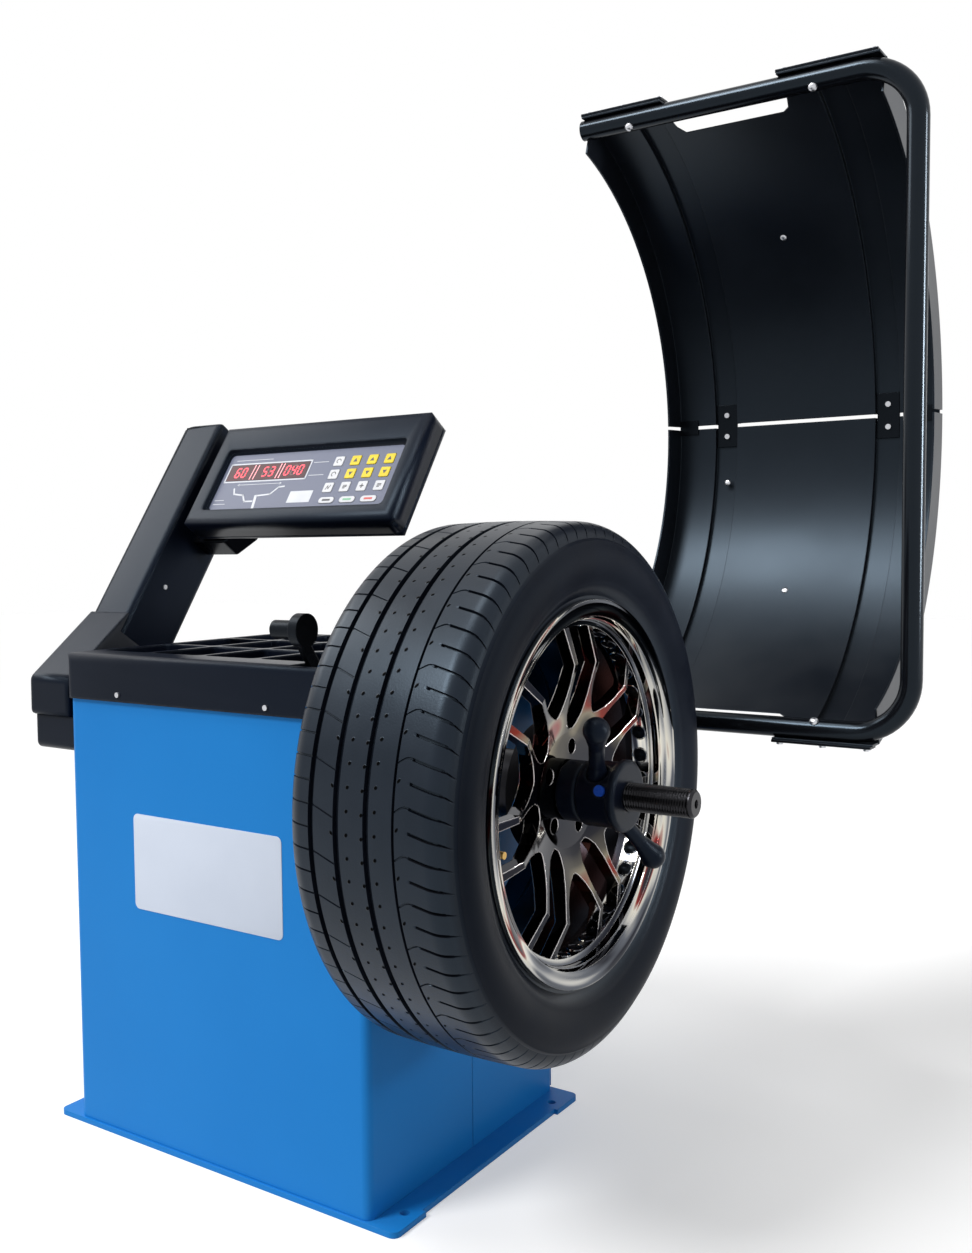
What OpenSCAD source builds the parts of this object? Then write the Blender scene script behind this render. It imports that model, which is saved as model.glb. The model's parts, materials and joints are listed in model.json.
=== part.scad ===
// Wheel balancer: a steel cabinet with a weight tray, a leaning display column, a wheel clamped on the
// spindle and a wheel hood that swings forward over the wheel. Millimetres.
// X runs along the spindle out of the right side, Y to the back and Z up. The origin lies on the floor,
// in the middle of the four anchor holes.

/* [Cabinet] */
// Width of the steel cabinet
cab_w = 580; // [540:1:640]
// Depth of the steel cabinet
cab_d = 496; // [480:1:540]
// Sheet thickness of the cabinet
cab_wall = 2; // [1.5:0.1:3]
// Outer radius of the folded corners
cab_bend_r = 12; // [8:0.5:14]
// Width of the return folds at the open back
return_w = 24; // [18:1:40]
// Thickness of the rear panel
rear_t = 1.5; // [1:0.1:3]
// Depth of the vertical panel joint pressed into each side
joint_groove = 0.8; // [0.4:0.1:1.2]

/* [Base plate] */
// Thickness of the base plate
base_t = 8; // [6:0.5:12]
// How far the anchor ears stand out at each side
ear_out = 46; // [40:1:60]
// Length of each anchor ear along the side
ear_len = 70; // [60:1:100]
// Depth of the side between the ears, behind the ears' edge
ear_step = 6; // [3:0.5:12]
// How far the plate stands out at front and back
base_lip = 4; // [2:0.5:10]
// Diameter of the anchor holes
anchor_d = 14; // [10:0.5:18]
// Distance from an ear's outer edge to its anchor hole
anchor_inset = 22; // [16:0.5:26]
// Distance from the plate's front or back edge to the anchor holes
anchor_end = 51; // [40:1:56]

/* [Weight tray] */
// Height of the tray skirt's lower edge above the floor
skirt_z = 677; // [660:1:700]
// Height of the tray from skirt edge to rim
tray_h = 71; // [66:1:80]
// Thickness of the pocketed deck
deck_t = 50; // [46:1:56]
// How far the tray stands out beyond the cabinet
tray_over = 5; // [4:0.5:8]
// Clearance between skirt and cabinet
tray_fit = 0.5; // [0.2:0.1:0.8]
// Radius of the tray's upper edges
tray_edge_r = 13; // [8:0.5:16]
// Width of the flat strip along the tray's front
front_strip = 48; // [44:1:60]
// Width of the rim beside and behind the pockets
tray_rim = 14; // [12:0.5:20]
// Depth of the weight pockets
pocket_depth = 42; // [30:1:44]
// Thickness of the walls between pockets
pocket_wall = 9; // [6:0.5:14]
// Corner radius of the pockets
pocket_r = 12; // [6:0.5:18]
// Number of pockets across
pocket_cols = 5; // [4:1:6]
// Number of pocket rows
pocket_rows = 3; // [2:1:4]

/* [Display column] */
// Width of the column
col_w = 90; // [80:1:110]
// Depth of the column, square to its lean
col_depth = 117; // [105:1:130]
// Lean of the column and the display towards the back, in degrees
col_lean = 34.3; // [28:0.1:40]
// Length of the column from the collar's upper edge
col_len = 395; // [385:1:430]
// Gap between the cabinet's side and the column
col_gap = 8; // [7:0.5:14]
// Edge radius of the column
col_r = 10; // [6:0.5:16]
// Height at which the column leaves the collar at its front
col_z = 806; // [800:1:815]
// Distance from the cabinet's front to the column where it leaves the collar
col_set_back = 134; // [125:1:142]
// Wall of the collar around the column
collar_wall = 4; // [3:0.25:6]
// How deep the column stands in the collar
collar_depth = 40; // [30:1:48]
// Height of the collar's lower edge above the floor
foot_z = 644; // [635:1:660]
// Height of the collar's upright front
foot_front_h = 61; // [50:1:66]
// Height of the support box under the collar
box_h = 55; // [45:1:70]

/* [Display head] */
// Width of the display head
head_w = 446; // [430:1:470]
// Height of the display head along its lean
head_h = 212; // [206:1:230]
// Depth of the display head
head_depth = 56; // [52:1:64]
// Depth of the front shell
head_front = 38; // [34:1:42]
// Height of the head's lower edge along the column
head_low = 172; // [166:1:180]
// Gap between column and head
head_gap = 18; // [14:0.5:24]
// Radius of the head's edges
head_r = 17; // [8:0.5:17]
// Wall of the head's shells
head_wall = 3; // [2:0.25:4]
// Width of the control panel
panel_w = 370; // [360:1:376]
// Height of the control panel
panel_h = 114; // [110:1:120]
// Height of the control panel above the head's lower edge
panel_low = 35; // [32:1:40]
// Distance from the head's left end to the control panel
panel_in = 42; // [38:1:44]
// Depth of the control panel below the front
panel_sink = 9; // [6:0.5:12]
// Thickness of the control panel
panel_t = 2; // [1.5:0.1:2.5]
// Rim around the control panel
panel_rim = 6; // [3:0.5:8]
// Width of the display window
window_w = 176; // [160:1:180]
// Height of the display window
window_h = 33; // [28:0.5:34]
// Side of a square key
key_size = 19; // [15:0.5:21]
// Spacing of the key columns
key_pitch_x = 34; // [28:0.5:34]
// Spacing of the key rows
key_pitch_z = 26; // [23:0.5:27]
// Height of a key above the panel
key_proud = 1.2; // [0.8:0.1:2]
// Travel of a key
key_travel = 0.5; // [0.3:0.05:0.8]
// Width of an oval key
oval_w = 31; // [24:0.5:36]
// Height of an oval key
oval_h = 12; // [9:0.5:14]
// Spacing of the oval keys
oval_pitch = 42; // [38:0.5:44]
// Gap around each key
key_gap = 0.4; // [0.3:0.05:0.6]

/* [Spindle] */
// Height of the spindle above the floor
spindle_z = 592; // [580:1:600]
// Distance from the cabinet's back to the spindle axis
spindle_in = 361; // [346:1:371]
// Diameter of the clamping spindle
shaft_d = 36; // [34:0.5:38]
// Reach of the spindle's tip beyond the cabinet
shaft_reach = 404; // [395:1:420]
// Diameter of the shaft in its bearings
journal_d = 40; // [39:0.5:45]
// Diameter of the shaft's rear end
tail_d = 30; // [24:0.5:34]
// Outside diameter of the bearings
bearing_d = 80; // [72:1:84]
// Width of a bearing
bearing_w = 18; // [15:0.5:23]
// Outside diameter of the spindle housing
housing_d = 100; // [96:1:110]
// Length of the spindle housing
housing_len = 356; // [330:1:370]
// How far the housing reaches out of the cabinet
housing_out = 6; // [4:0.5:10]
// Radial running clearance of turning fits
run_fit = 0.05; // [0.03:0.01:0.08]
// Clearance of pieces that are pressed or pushed together
push_fit = 0.05; // [0.02:0.01:0.08]
// Diameter of the wheel flange
flange_d = 170; // [150:1:190]
// Thickness of the wheel flange
flange_t = 20; // [16:0.5:26]
// Diameter of the flange's hub
flange_hub_d = 90; // [80:1:104]

/* [Wheel] */
// Distance from the cabinet to the wheel's centre plane
wheel_out = 157; // [155:0.5:165]
// Bead seat diameter of the rim
rim_d = 457.2; // [440:0.1:470]
// Height of the rim flanges
rim_flange_h = 17.3; // [14:0.1:20]
// Overall width of the rim
rim_w = 220; // [210:1:226]
// Thickness of the rim barrel
rim_t = 7; // [5:0.5:9]
// Distance from the centre plane out to the hub's inner face
hub_offset = 49; // [44:0.5:54]
// Thickness of the hub
hub_t = 24; // [20:0.5:28]
// Diameter of the rim's centre bore
hub_bore_d = 73; // [70:0.5:76]
// Diameter of the hub
hub_d = 150; // [140:1:160]
// Number of forked spokes
spokes = 7; // [6:1:8]
// Overall diameter of the tyre
tyre_d = 692; // [676:1:700]
// Overall width of the tyre
tyre_w = 245; // [236:1:250]
// Width of the tread
tread_w = 206; // [196:1:214]
// Depth of the tread grooves
groove_depth = 6; // [3:0.5:8]
// Width of the three main tread grooves
groove_w = 8; // [6:0.5:10]

/* [Clamping nut] */
// Diameter of the pressure cup
cup_d = 78; // [74:1:84]
// Length of the pressure cup
cup_len = 28; // [24:0.5:34]
// Diameter of the nut's body
nut_d = 84; // [78:1:86]
// Length of the nut's body
nut_len = 44; // [43:0.5:52]
// Diameter of the nut's end disc
nut_disc_d = 91; // [88:1:100]
// Thickness of the nut's end disc
nut_disc_t = 12; // [8:0.5:14]
// Distance from the axis to the centre of a handle's ball
handle_reach = 128; // [115:1:140]
// Diameter of a handle's ball
handle_ball_d = 33; // [28:0.5:36]
// Diameter of a handle's stem
handle_d = 20; // [17:0.5:21]
// Turn of the handles about the axis, in degrees from the top towards the front
handle_turn = 40.5; // [0:0.5:180]
// Outward tilt of the handles, in degrees
handle_tilt = 18; // [12:0.5:20]
// Diameter of the release button
button_d = 14; // [11:0.5:16]
// Travel of the release button
button_travel = 3; // [2:0.25:4]
// Free travel of the cup and nut along the spindle
nut_travel = 80; // [40:1:82]

/* [Hood] */
// Diameter of the hood tube
tube_d = 30; // [26:0.5:32]
// Wall of the hood tube
tube_wall = 2.5; // [2:0.25:4]
// Height of the hood's lower bar, its pivot, above the floor
hood_low_z = 637; // [630:1:645]
// Distance between the hood's bars
hood_h = 918; // [900:1:940]
// Distance from the cabinet's back to the hood tube
hood_back = 20; // [19:0.5:26]
// Reach of the upright tube beyond the cabinet
hood_reach = 559; // [550:1:580]
// Bend radius of the hood tube
hood_bend_r = 78; // [60:1:84]
// Distance from the cabinet to the hood sheet
hood_sheet_out = 55; // [50:1:58]
// Width of the hood sheet
hood_sheet_w = 457; // [445:1:462]
// Depth of the hood sheet behind its bars
hood_depth = 352.4; // [346:0.1:358]
// Thickness of the hood sheet
hood_t = 3; // [2:0.25:4]
// Width of the hood's side flanges
hood_flange = 54; // [46:0.5:56]
// Depth of the pressed channels
channel_depth = 9; // [5:0.5:12]
// Width of the pressed channels
channel_w = 40; // [34:0.5:44]
// Distance from the sheet's left edge to the first channel
channel_in = 70; // [60:1:80]
// Spacing of the two channels
channel_pitch = 281; // [270:1:290]
// Gap between the two halves of the hood
hood_gap = 6; // [3:0.5:8]
// Angle of the joint above the hood's middle, in degrees
hood_joint = 2.4; // [0:0.1:6]
// Width of the hand opening beside each bar
grip_w = 176; // [150:1:176]
// Height of the hand opening below the bar's upper side
grip_h = 26; // [20:0.5:30]

/* [Distance gauge] */
// Distance from the cabinet's left side to the gauge arm
gauge_x = 465; // [455:1:480]
// Height of the gauge rod above the floor
gauge_z = 684; // [682:0.5:685]
// Distance from the cabinet's front to the gauge rod
gauge_in = 85; // [83:0.5:88]
// Diameter of the gauge rod
gauge_rod_d = 16; // [12:0.5:16]
// Length of the gauge arm
gauge_arm_len = 138; // [132:1:144]
// Width of the gauge arm
gauge_arm_w = 18; // [14:0.5:18]
// Thickness of the gauge arm
gauge_arm_t = 8; // [5:0.5:9]
// Forward lean of the parked arm, in degrees
gauge_lean = 36; // [30:0.5:37]
// Diameter of the gauge disc
gauge_disc_d = 46; // [40:0.5:48]
// Travel of the gauge along the spindle's direction
gauge_travel = 118; // [60:1:120]

/* [Drive] */
// Diameter of the spindle pulley
pulley_d = 160; // [140:1:180]
// Diameter of the motor pulley
motor_pulley_d = 56; // [44:1:64]
// Width of the pulleys
pulley_w = 20; // [16:0.5:24]
// Diameter of the motor
motor_d = 130; // [110:1:140]
// Length of the motor
motor_len = 180; // [150:1:200]
// Height of the motor's axis above the floor
motor_z = 250; // [230:1:270]
// Distance from the cabinet's back to the motor's axis
motor_in = 138; // [125:1:150]
// Thickness of the drive belt
belt_t = 4; // [3:0.25:6]
// Gap between the belt and the pulleys
belt_gap = 0.4; // [0.3:0.05:0.6]

/* [Hidden] */
$fn = 64;
KEY_ROWS = 3;
KEY_COLS = 4;
OVALS = 3;
function key_name(row, col) = str("key_row", row + 1, "_", col + 1);
function oval_name(i) = str("key_oval_", i + 1);

BLUE = "#2f86d6";
BLACK = "#1c1c1f";
SATIN = "#26272b";
STEEL = "#9aa0a6";
ZINC = "#c9ccd0";
CHROME = "#b9bcc4";

// Cut depth past a face, so that no cut ends on the face itself
past = 1;

// Cabinet planes
right_x = cab_w / 2;
left_x = -cab_w / 2;
front_y = -cab_d / 2;
back_y = cab_d / 2;
rear_y = back_y + rear_t;
tray_top = skirt_z + tray_h;
deck_z = tray_top - deck_t;
base_w = cab_w + 2 * ear_out;
base_d = cab_d + 2 * base_lip;
anchor_x = base_w / 2 - anchor_inset;
anchor_y = base_d / 2 - anchor_end;
groove_y = 5;

// Leaning frame of column and display: origin on the column's front at its right side
lean_x = left_x - col_gap;
lean_y = front_y + col_set_back;
head_x0 = lean_x + head_gap;
head_zc = head_low + head_h / 2;
panel_x0 = head_x0 + panel_in;
panel_z0 = head_low + panel_low;
key_x0 = panel_x0 + 247;
key_z0 = panel_z0 + 88;
oval_x0 = panel_x0 + 254;
oval_z0 = panel_z0 + 11;
window_x0 = panel_x0 + 10;
window_z0 = panel_z0 + 59;
neck_depth = 42;
neck_len = 88;
neck_low = head_low + 2;
neck_h = 150;

// Spindle stations along X
spindle_y = back_y - spindle_in;
housing_x1 = right_x + housing_out;
housing_x0 = housing_x1 - housing_len;
wheel_x = right_x + wheel_out;
seat_x = wheel_x + hub_offset;
hub_x = seat_x + hub_t;
tip_x = right_x + shaft_reach;
journal_x1 = seat_x - 40;
flange_gap = 4;
pulley_gap = 22;
pulley_x1 = housing_x0 - pulley_gap;
pulley_x0 = pulley_x1 - pulley_w;
tail_x0 = pulley_x0 - 8;
cup_gap = 0.3;
cup_x0 = hub_x + cup_gap;
cup_x1 = cup_x0 + cup_len;
nut_x0 = cup_x1 + cup_gap;
nut_x1 = nut_x0 + nut_len;
thread_bore_d = shaft_d + 2 * run_fit;
cone_recess_d = 96;
cone_recess = 25;

// Hood
hood_y = back_y + hood_back;
hood_mid_z = hood_low_z + hood_h / 2;
hood_top_z = hood_low_z + hood_h;
tube_x1 = right_x + hood_reach;
sheet_x0 = right_x + hood_sheet_out;
sheet_x1 = sheet_x0 + hood_sheet_w;
tab_top_h = hood_h / 2 + tube_d / 2 + hood_t;
sheet_end_h = tab_top_h - hood_t / 4;
hood_r = (pow(sheet_end_h, 2) + pow(hood_depth, 2)) / (2 * hood_depth);
hood_half = asin(sheet_end_h / hood_r);
sheet_end_y = hood_y + tube_d / 2 + 2;
hood_cy = sheet_end_y - hood_r * cos(hood_half);
clamp_len = 134;
clamp_w = 26;
clamp_t = 4;
clamp_x = [sheet_x0, sheet_x0 + grip_w + clamp_len];
grip_x0 = sheet_x0 + clamp_len;

// Gauge
arm_x = left_x + gauge_x;
rod_y = front_y + gauge_in;
bay_side = 10;
bay_x0 = arm_x - bay_side;
bay_wall = 3;
bay_back = rod_y + 42;
bay_floor = gauge_z - 16;
bay_front = front_y + 3;
hub_r = 12.5;
guide_y = rod_y + 42;
guide_d = 12;
carriage_len = 40;
carriage_x0 = left_x + 210;
rod_x0 = carriage_x0 - 10;
guide_x0 = carriage_x0 - 38;
guide_x1 = bay_x0 - 6;

// Drive
motor_y = back_y - motor_in;
motor_x1 = pulley_x0 + pulley_w + 12 + motor_len;

// Shared shapes

// Rectangle with round corners, about its middle; over lets the corners swell a hair past the sides
module round_rect(w, d, r, over = 0) {
    square([w - 2 * r, d], center = true);
    square([w, d - 2 * r], center = true);
    for (sx = [-1, 1], sy = [-1, 1])
        translate([sx * (w / 2 - r), sy * (d / 2 - r)])
            circle(r + over);
}

// Box from corner to corner
module span(a, b) {
    translate(a)
        cube(b - a);
}

// Cylinder along X
module bar_x(d, x0, x1) {
    translate([x0, 0, 0])
        rotate([0, 90, 0])
            cylinder(d = d, h = x1 - x0);
}

// Revolved profile about X: points are [radius, x]
module turned(points) {
    rotate([0, 90, 0])
        rotate_extrude()
            polygon(points);
}

// Moves children onto the spindle's axis
module on_spindle() {
    translate([0, spindle_y, spindle_z])
        children();
}

// Moves children into the leaning frame: Z runs up along the column, Y square into it
module leaning() {
    translate([0, lean_y, col_z])
        rotate([-col_lean, 0, 0])
            children();
}

// Box with round edges along its length and round corners at its front face, seen from the front
module moulded_front(w, h, d, r) {
    intersection() {
        translate([0, d, 0])
            rotate([90, 0, 0])
                linear_extrude(d)
                    round_rect(w, h, r);
        linear_extrude(h + 2 * past, center = true)
            front_rounded(w, d, r);
        rotate([0, 90, 0])
            linear_extrude(w + 2 * past, center = true)
                front_rounded(h, d, r);
    }
}

// Rectangle from Y = 0 to d whose two corners at Y = 0 are round
module front_rounded(w, d, r) {
    translate([-w / 2, r])
        square([w, d - r]);
    translate([-w / 2 + r, 0])
        square([w - 2 * r, d]);
    for (s = [-1, 1])
        translate([s * (w / 2 - r), r])
            circle(r);
}

// Pan-head screw whose head stands on the plane Z = 0, shank down into its hole
module screw(head_d, head_h, shank_d, shank_l) {
    cylinder(d = head_d, h = head_h);
    translate([0, 0, -shank_l])
        cylinder(d = shank_d, h = shank_l);
}

// Cabinet

module base_plate() color(BLUE) difference() {
    linear_extrude(base_t)
        difference() {
            round_rect(base_w, base_d, cab_bend_r);
            for (s = [-1, 1])
                translate([s * base_w / 2, 0])
                    square([2 * ear_step, base_d - 2 * ear_len], center = true);
        }
    for (sx = [-1, 1], sy = [-1, 1])
        translate([sx * anchor_x, sy * anchor_y, -past])
            cylinder(d = anchor_d, h = base_t + 2 * past);
}

// Plan of the cabinet, grown by a margin
module cabinet_plan(grow) {
    round_rect(cab_w + 2 * grow, cab_d + 2 * grow, cab_bend_r + grow);
}

module cabinet_shell() color(BLUE) difference() {
    translate([0, 0, base_t])
        linear_extrude(deck_z - base_t)
            cabinet_plan(0);
    translate([0, 0, base_t - past])
        linear_extrude(deck_z - base_t + 2 * past)
            cabinet_plan(-cab_wall);
    span([left_x + return_w, back_y - 2 * cab_wall, base_t + return_w],
         [right_x - return_w, back_y + past, deck_z - return_w]);
    on_spindle()
        bar_x(housing_d + 4, right_x - cab_bend_r, right_x + past);
    span([right_x - 2 * cab_bend_r, front_y + cab_wall, bay_floor - bay_wall - tray_fit],
         [right_x + past, bay_back + bay_wall + tray_fit, deck_z + past]);
    for (s = [-1, 1])
        translate([s * right_x, groove_y, (base_t + deck_z) / 2])
            cube([2 * joint_groove, 1.6, deck_z - base_t + 2 * past], center = true);
    tray_screw_places(front_y)
        screw_hole();
    rear_screw_places()
        screw_hole();
}

// Places of the tray's front screws; children point out of the front face
module tray_screw_places(y) {
    for (x = [-173, 126])
        translate([x, y, skirt_z + 11])
            rotate([90, 0, 0])
                children();
}

module screw_hole() {
    translate([0, 0, -12])
        cylinder(d = 4.4, h = 24);
}

rear_screw_x = right_x - return_w / 2;

module rear_screw_places() {
    for (sx = [-1, 1], t = [0 : 3])
        translate([sx * rear_screw_x, rear_y, 40 + t * (deck_z - 80) / 3])
            rotate([-90, 0, 0])
                children();
}

vent_rows = 8;

module rear_panel() color(BLUE) difference() {
    span([left_x + 4, back_y, base_t + 4], [right_x - 4, rear_y, skirt_z - 4]);
    for (t = [0 : vent_rows - 1])
        span([-90, back_y - past, 330 + 16 * t], [90, rear_y + past, 336 + 16 * t]);
    span([inlet_x - inlet_w / 2, back_y - past, inlet_z - inlet_h / 2],
         [inlet_x + inlet_w / 2, rear_y + past, inlet_z + inlet_h / 2]);
    rear_screw_places()
        screw_hole();
}

module case_screws() color(ZINC) {
    tray_screw_places(front_y - tray_over)
        screw(8, 2.5, 4, 10);
    rear_screw_places()
        screw(8, 2.5, 4, 6);
    leaning()
        column_screw_place()
            screw(8, 2, 4, 10);
}

// Place of the screw in the column's right side; the child points out of it
module column_screw_place() {
    translate([lean_x, 44, 74])
        rotate([0, 90, 0])
            children();
}

inlet_x = left_x + 100;
inlet_z = 120;
inlet_w = 48;
inlet_h = 28;

// Power inlet: a framed socket in the rear panel
module power_inlet() color(BLACK) difference() {
    union() {
        span([inlet_x - inlet_w / 2 + push_fit, back_y - 26, inlet_z - inlet_h / 2 + push_fit],
             [inlet_x + inlet_w / 2 - push_fit, rear_y, inlet_z + inlet_h / 2 - push_fit]);
        span([inlet_x - inlet_w / 2 - 5, rear_y, inlet_z - inlet_h / 2 - 5],
             [inlet_x + inlet_w / 2 + 5, rear_y + 3, inlet_z + inlet_h / 2 + 5]);
    }
    span([inlet_x - 13, rear_y - 18, inlet_z - 9], [inlet_x + 13, rear_y + 3 + past, inlet_z + 9]);
}

// Weight tray

tray_w = cab_w + 2 * tray_over;
tray_d = cab_d + 2 * tray_over;
pitch_x = (cab_w - 2 * tray_rim) / pocket_cols;
pitch_y = (cab_d - front_strip - tray_rim) / pocket_rows;

// Front edge of a pocket: behind the gauge bay where the two meet
function pocket_y0(col, row) =
    let (y = front_y + front_strip + row * pitch_y + pocket_wall / 2,
         x1 = left_x + tray_rim + (col + 1) * pitch_x)
    x1 > bay_x0 + bay_wall && y < bay_back + tray_rim ? bay_back + tray_rim : y;

module pocket(col, row) {
    x0 = left_x + tray_rim + col * pitch_x + pocket_wall / 2;
    x1 = x0 + pitch_x - pocket_wall;
    y0 = pocket_y0(col, row);
    y1 = front_y + front_strip + (row + 1) * pitch_y - pocket_wall / 2;
    translate([(x0 + x1) / 2, (y0 + y1) / 2])
        round_rect(x1 - x0, y1 - y0, pocket_r, 0.01);
}

// Prism with round upper edges that runs along X
module ridge(w, len) {
    rotate([90, 0, 90])
        linear_extrude(len, center = true)
            translate([0, tray_h])
                mirror([0, 1])
                    front_rounded(w, tray_h, tray_edge_r);
}

module tray_block() {
    translate([0, 0, skirt_z])
        intersection() {
            linear_extrude(tray_h)
                cabinet_plan(tray_over);
            ridge(tray_d, tray_w + 2 * past);
            rotate([0, 0, 90])
                ridge(tray_w, tray_d + 2 * past);
        }
}

module weight_tray() color(BLACK) {
    difference() {
        tray_block();
        translate([0, 0, skirt_z - past])
            linear_extrude(deck_z - skirt_z + past)
                cabinet_plan(tray_fit);
        translate([0, 0, tray_top - pocket_depth])
            linear_extrude(pocket_depth + past)
                for (col = [0 : pocket_cols - 1], row = [0 : pocket_rows - 1])
                    pocket(col, row);
        span([bay_x0, bay_front, skirt_z - past], [right_x + 2 * tray_over, bay_back, tray_top + past]);
        tray_screw_places(front_y - tray_over)
            screw_hole();
    }
    gauge_bay();
}

// Walls and floor of the bay that the gauge arm stands in, open to the right and upwards
module gauge_bay() difference() {
    span([bay_x0 - bay_wall, bay_front, bay_floor - bay_wall], [right_x, bay_back + bay_wall, deck_z]);
    span([bay_x0, bay_front - past, bay_floor], [right_x + past, bay_back, deck_z + past]);
    translate([0, rod_y, gauge_z])
        bar_x(gauge_rod_d + 1, bay_x0 - bay_wall - past, bay_x0 + past);
}

// Display column and its foot

foot_x0 = lean_x - col_w - collar_wall;
foot_x1 = left_x - tray_over - 1;
foot_front_y = front_y + 2;
crown_r = 26;
col_wall = 4;

// Point in the side view for a depth and a height in the leaning frame
function lean_point(depth, up) =
    [lean_y + depth * cos(col_lean) + up * sin(col_lean),
     col_z - depth * sin(col_lean) + up * cos(col_lean)];

// Prism along X from a side view of [y, z] points
module side_prism(points, x0, x1) {
    translate([x0, 0, 0])
        rotate([90, 0, 90])
            linear_extrude(x1 - x0)
                polygon(points);
}

module column_foot() color(SATIN) difference() {
    collar_top = -6;
    front_top = lean_point(-collar_wall, collar_top);
    back_top = lean_point(col_depth + collar_wall, collar_top);
    side_prism([[foot_front_y, foot_z],
                [foot_front_y, foot_z + foot_front_h],
                front_top,
                back_top,
                [back_top[0] + 8, foot_z]], foot_x0, foot_x1);
    leaning()
        span([lean_x - col_w - tray_fit, -tray_fit, -collar_depth],
             [foot_x1 + past, col_depth + tray_fit, past]);
}

box_in = 8;
box_wall = 4;
box_r = 12;

module side_box() color(BLACK) {
    y0 = foot_front_y + box_in;
    y1 = lean_point(col_depth, 0)[0] - 2 * box_in;
    difference() {
        translate([foot_x0 + box_in, (y0 + y1) / 2, foot_z - box_h])
            rotate([90, 0, 90])
                linear_extrude(left_x - foot_x0 - box_in)
                    front_rounded(y1 - y0, box_h, box_r);
        span([foot_x0 + box_in + box_wall, y0 + box_r, foot_z - box_h + box_wall],
             [left_x - box_wall, y1 - box_r, foot_z + past]);
    }
}

module display_column() color(SATIN) leaning() difference() {
    translate([lean_x - col_w / 2, col_depth / 2, -collar_depth])
        linear_extrude(col_len + collar_depth)
            round_rect(col_w, col_depth, col_r);
    column_crown();
    translate([lean_x - col_w / 2, col_depth / 2, -collar_depth - past])
        linear_extrude(col_len + collar_depth - 2 * crown_r)
            round_rect(col_w - 2 * col_wall, col_depth - 2 * col_wall, col_r - col_wall);
    column_screw_place()
        screw_hole();
}

// What the round top of the column leaves out
module column_crown() {
    r = crown_r;
    difference() {
        span([lean_x - col_w - past, -past, col_len - r],
             [lean_x - col_w + r, col_depth + past, col_len + past]);
        translate([lean_x - col_w + r, -2 * past, col_len - r])
            rotate([-90, 0, 0])
                cylinder(r = r, h = col_depth + 4 * past);
    }
    difference() {
        span([lean_x - col_w - past, -past, col_len - col_r], [lean_x + past, col_r, col_len + past]);
        translate([lean_x - col_w - 2 * past, col_r, col_len - col_r])
            rotate([0, 90, 0])
                cylinder(r = col_r, h = col_w + 4 * past);
    }
}

// Display head

module head_place() {
    leaning()
        translate([head_x0 + head_w / 2, 0, head_zc])
            children();
}

// Window in the head's front that shows the control panel
module panel_cut(grow, depth0, depth1) {
    leaning()
        translate([panel_x0 + panel_w / 2, depth1, panel_z0 + panel_h / 2])
            rotate([90, 0, 0])
                linear_extrude(depth1 - depth0)
                    round_rect(panel_w + 2 * grow, panel_h + 2 * grow, 8);
}

module head_shell() color(SATIN) difference() {
    head_place()
        moulded_front(head_w, head_h, head_front, head_r);
    panel_cut(panel_rim, -past, panel_sink);
    panel_cut(push_fit, panel_sink - past, panel_sink + panel_t);
    head_place()
        translate([0, head_front / 2 + panel_sink + panel_t + head_wall, 0])
            cube([head_w - 2 * head_wall, head_front, head_h - 2 * head_wall], center = true);
}

module head_back_cover() color(BLACK) difference() {
    head_place()
        translate([0, head_depth, 0])
            rotate([0, 0, 180])
                moulded_front(head_w, head_h, head_depth - head_front, head_r);
    head_place()
        translate([0, head_depth - head_wall, 0])
            rotate([0, 0, 180])
                moulded_front(head_w - 2 * head_wall, head_h - 2 * head_wall,
                              head_depth - head_front, head_r - head_wall);
}

// Bracket that carries the head on the column's right side
module head_neck() color(BLACK) leaning() difference() {
    span([lean_x, head_depth, neck_low], [head_x0 + neck_len, head_depth + neck_depth, neck_low + neck_h]);
    translate([head_x0 + neck_len, head_depth - past, neck_low])
        rotate([0, 45, 0])
            cube([44, 2 * neck_depth + 2 * past, 44], center = true);
}

module control_panel() color("#7d8798") difference() {
    panel_cut(0, panel_sink, panel_sink + panel_t);
    leaning() {
        for (row = [0 : KEY_ROWS - 1], col = [0 : KEY_COLS - 1])
            key_body(row, col, key_gap, panel_sink - past, panel_sink + panel_t + past);
        for (i = [0 : OVALS - 1])
            oval_body(i, key_gap, panel_sink - past, panel_sink + panel_t + past);
        window_body(push_fit, panel_sink - past, panel_sink + panel_t + past);
    }
}

module window_body(grow, depth0, depth1) {
    translate([window_x0 + window_w / 2, depth1, window_z0 + window_h / 2])
        rotate([90, 0, 0])
            linear_extrude(depth1 - depth0)
                round_rect(window_w + 2 * grow, window_h + 2 * grow, 3);
}

module display_window() color("#3a0c10") leaning()
    window_body(0, panel_sink - 0.4, panel_sink + panel_t);

module key_body(row, col, grow, depth0, depth1) {
    translate([key_x0 + col * key_pitch_x, depth1, key_z0 - row * key_pitch_z])
        rotate([90, 0, 0])
            linear_extrude(depth1 - depth0)
                round_rect(key_size + 2 * grow, key_size + 2 * grow, 2.5);
}

module oval_body(i, grow, depth0, depth1) {
    translate([oval_x0 + i * oval_pitch, depth1, oval_z0])
        rotate([90, 0, 0])
            linear_extrude(depth1 - depth0)
                round_rect(oval_w + 2 * grow, oval_h + 2 * grow, 0.48 * oval_h);
}

key_back = panel_sink + panel_t - key_travel - 0.1;

module panel_key(row, col)
    color(col == 0 || row == KEY_ROWS - 1 ? "#eef0f2" : "#f4e600")
        leaning()
            key_body(row, col, 0, panel_sink - key_proud, key_back);

module oval_key(i) color("#f4f5f6") leaning()
    oval_body(i, 0, panel_sink - key_proud, key_back);

// Spindle housing and what carries it

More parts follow.
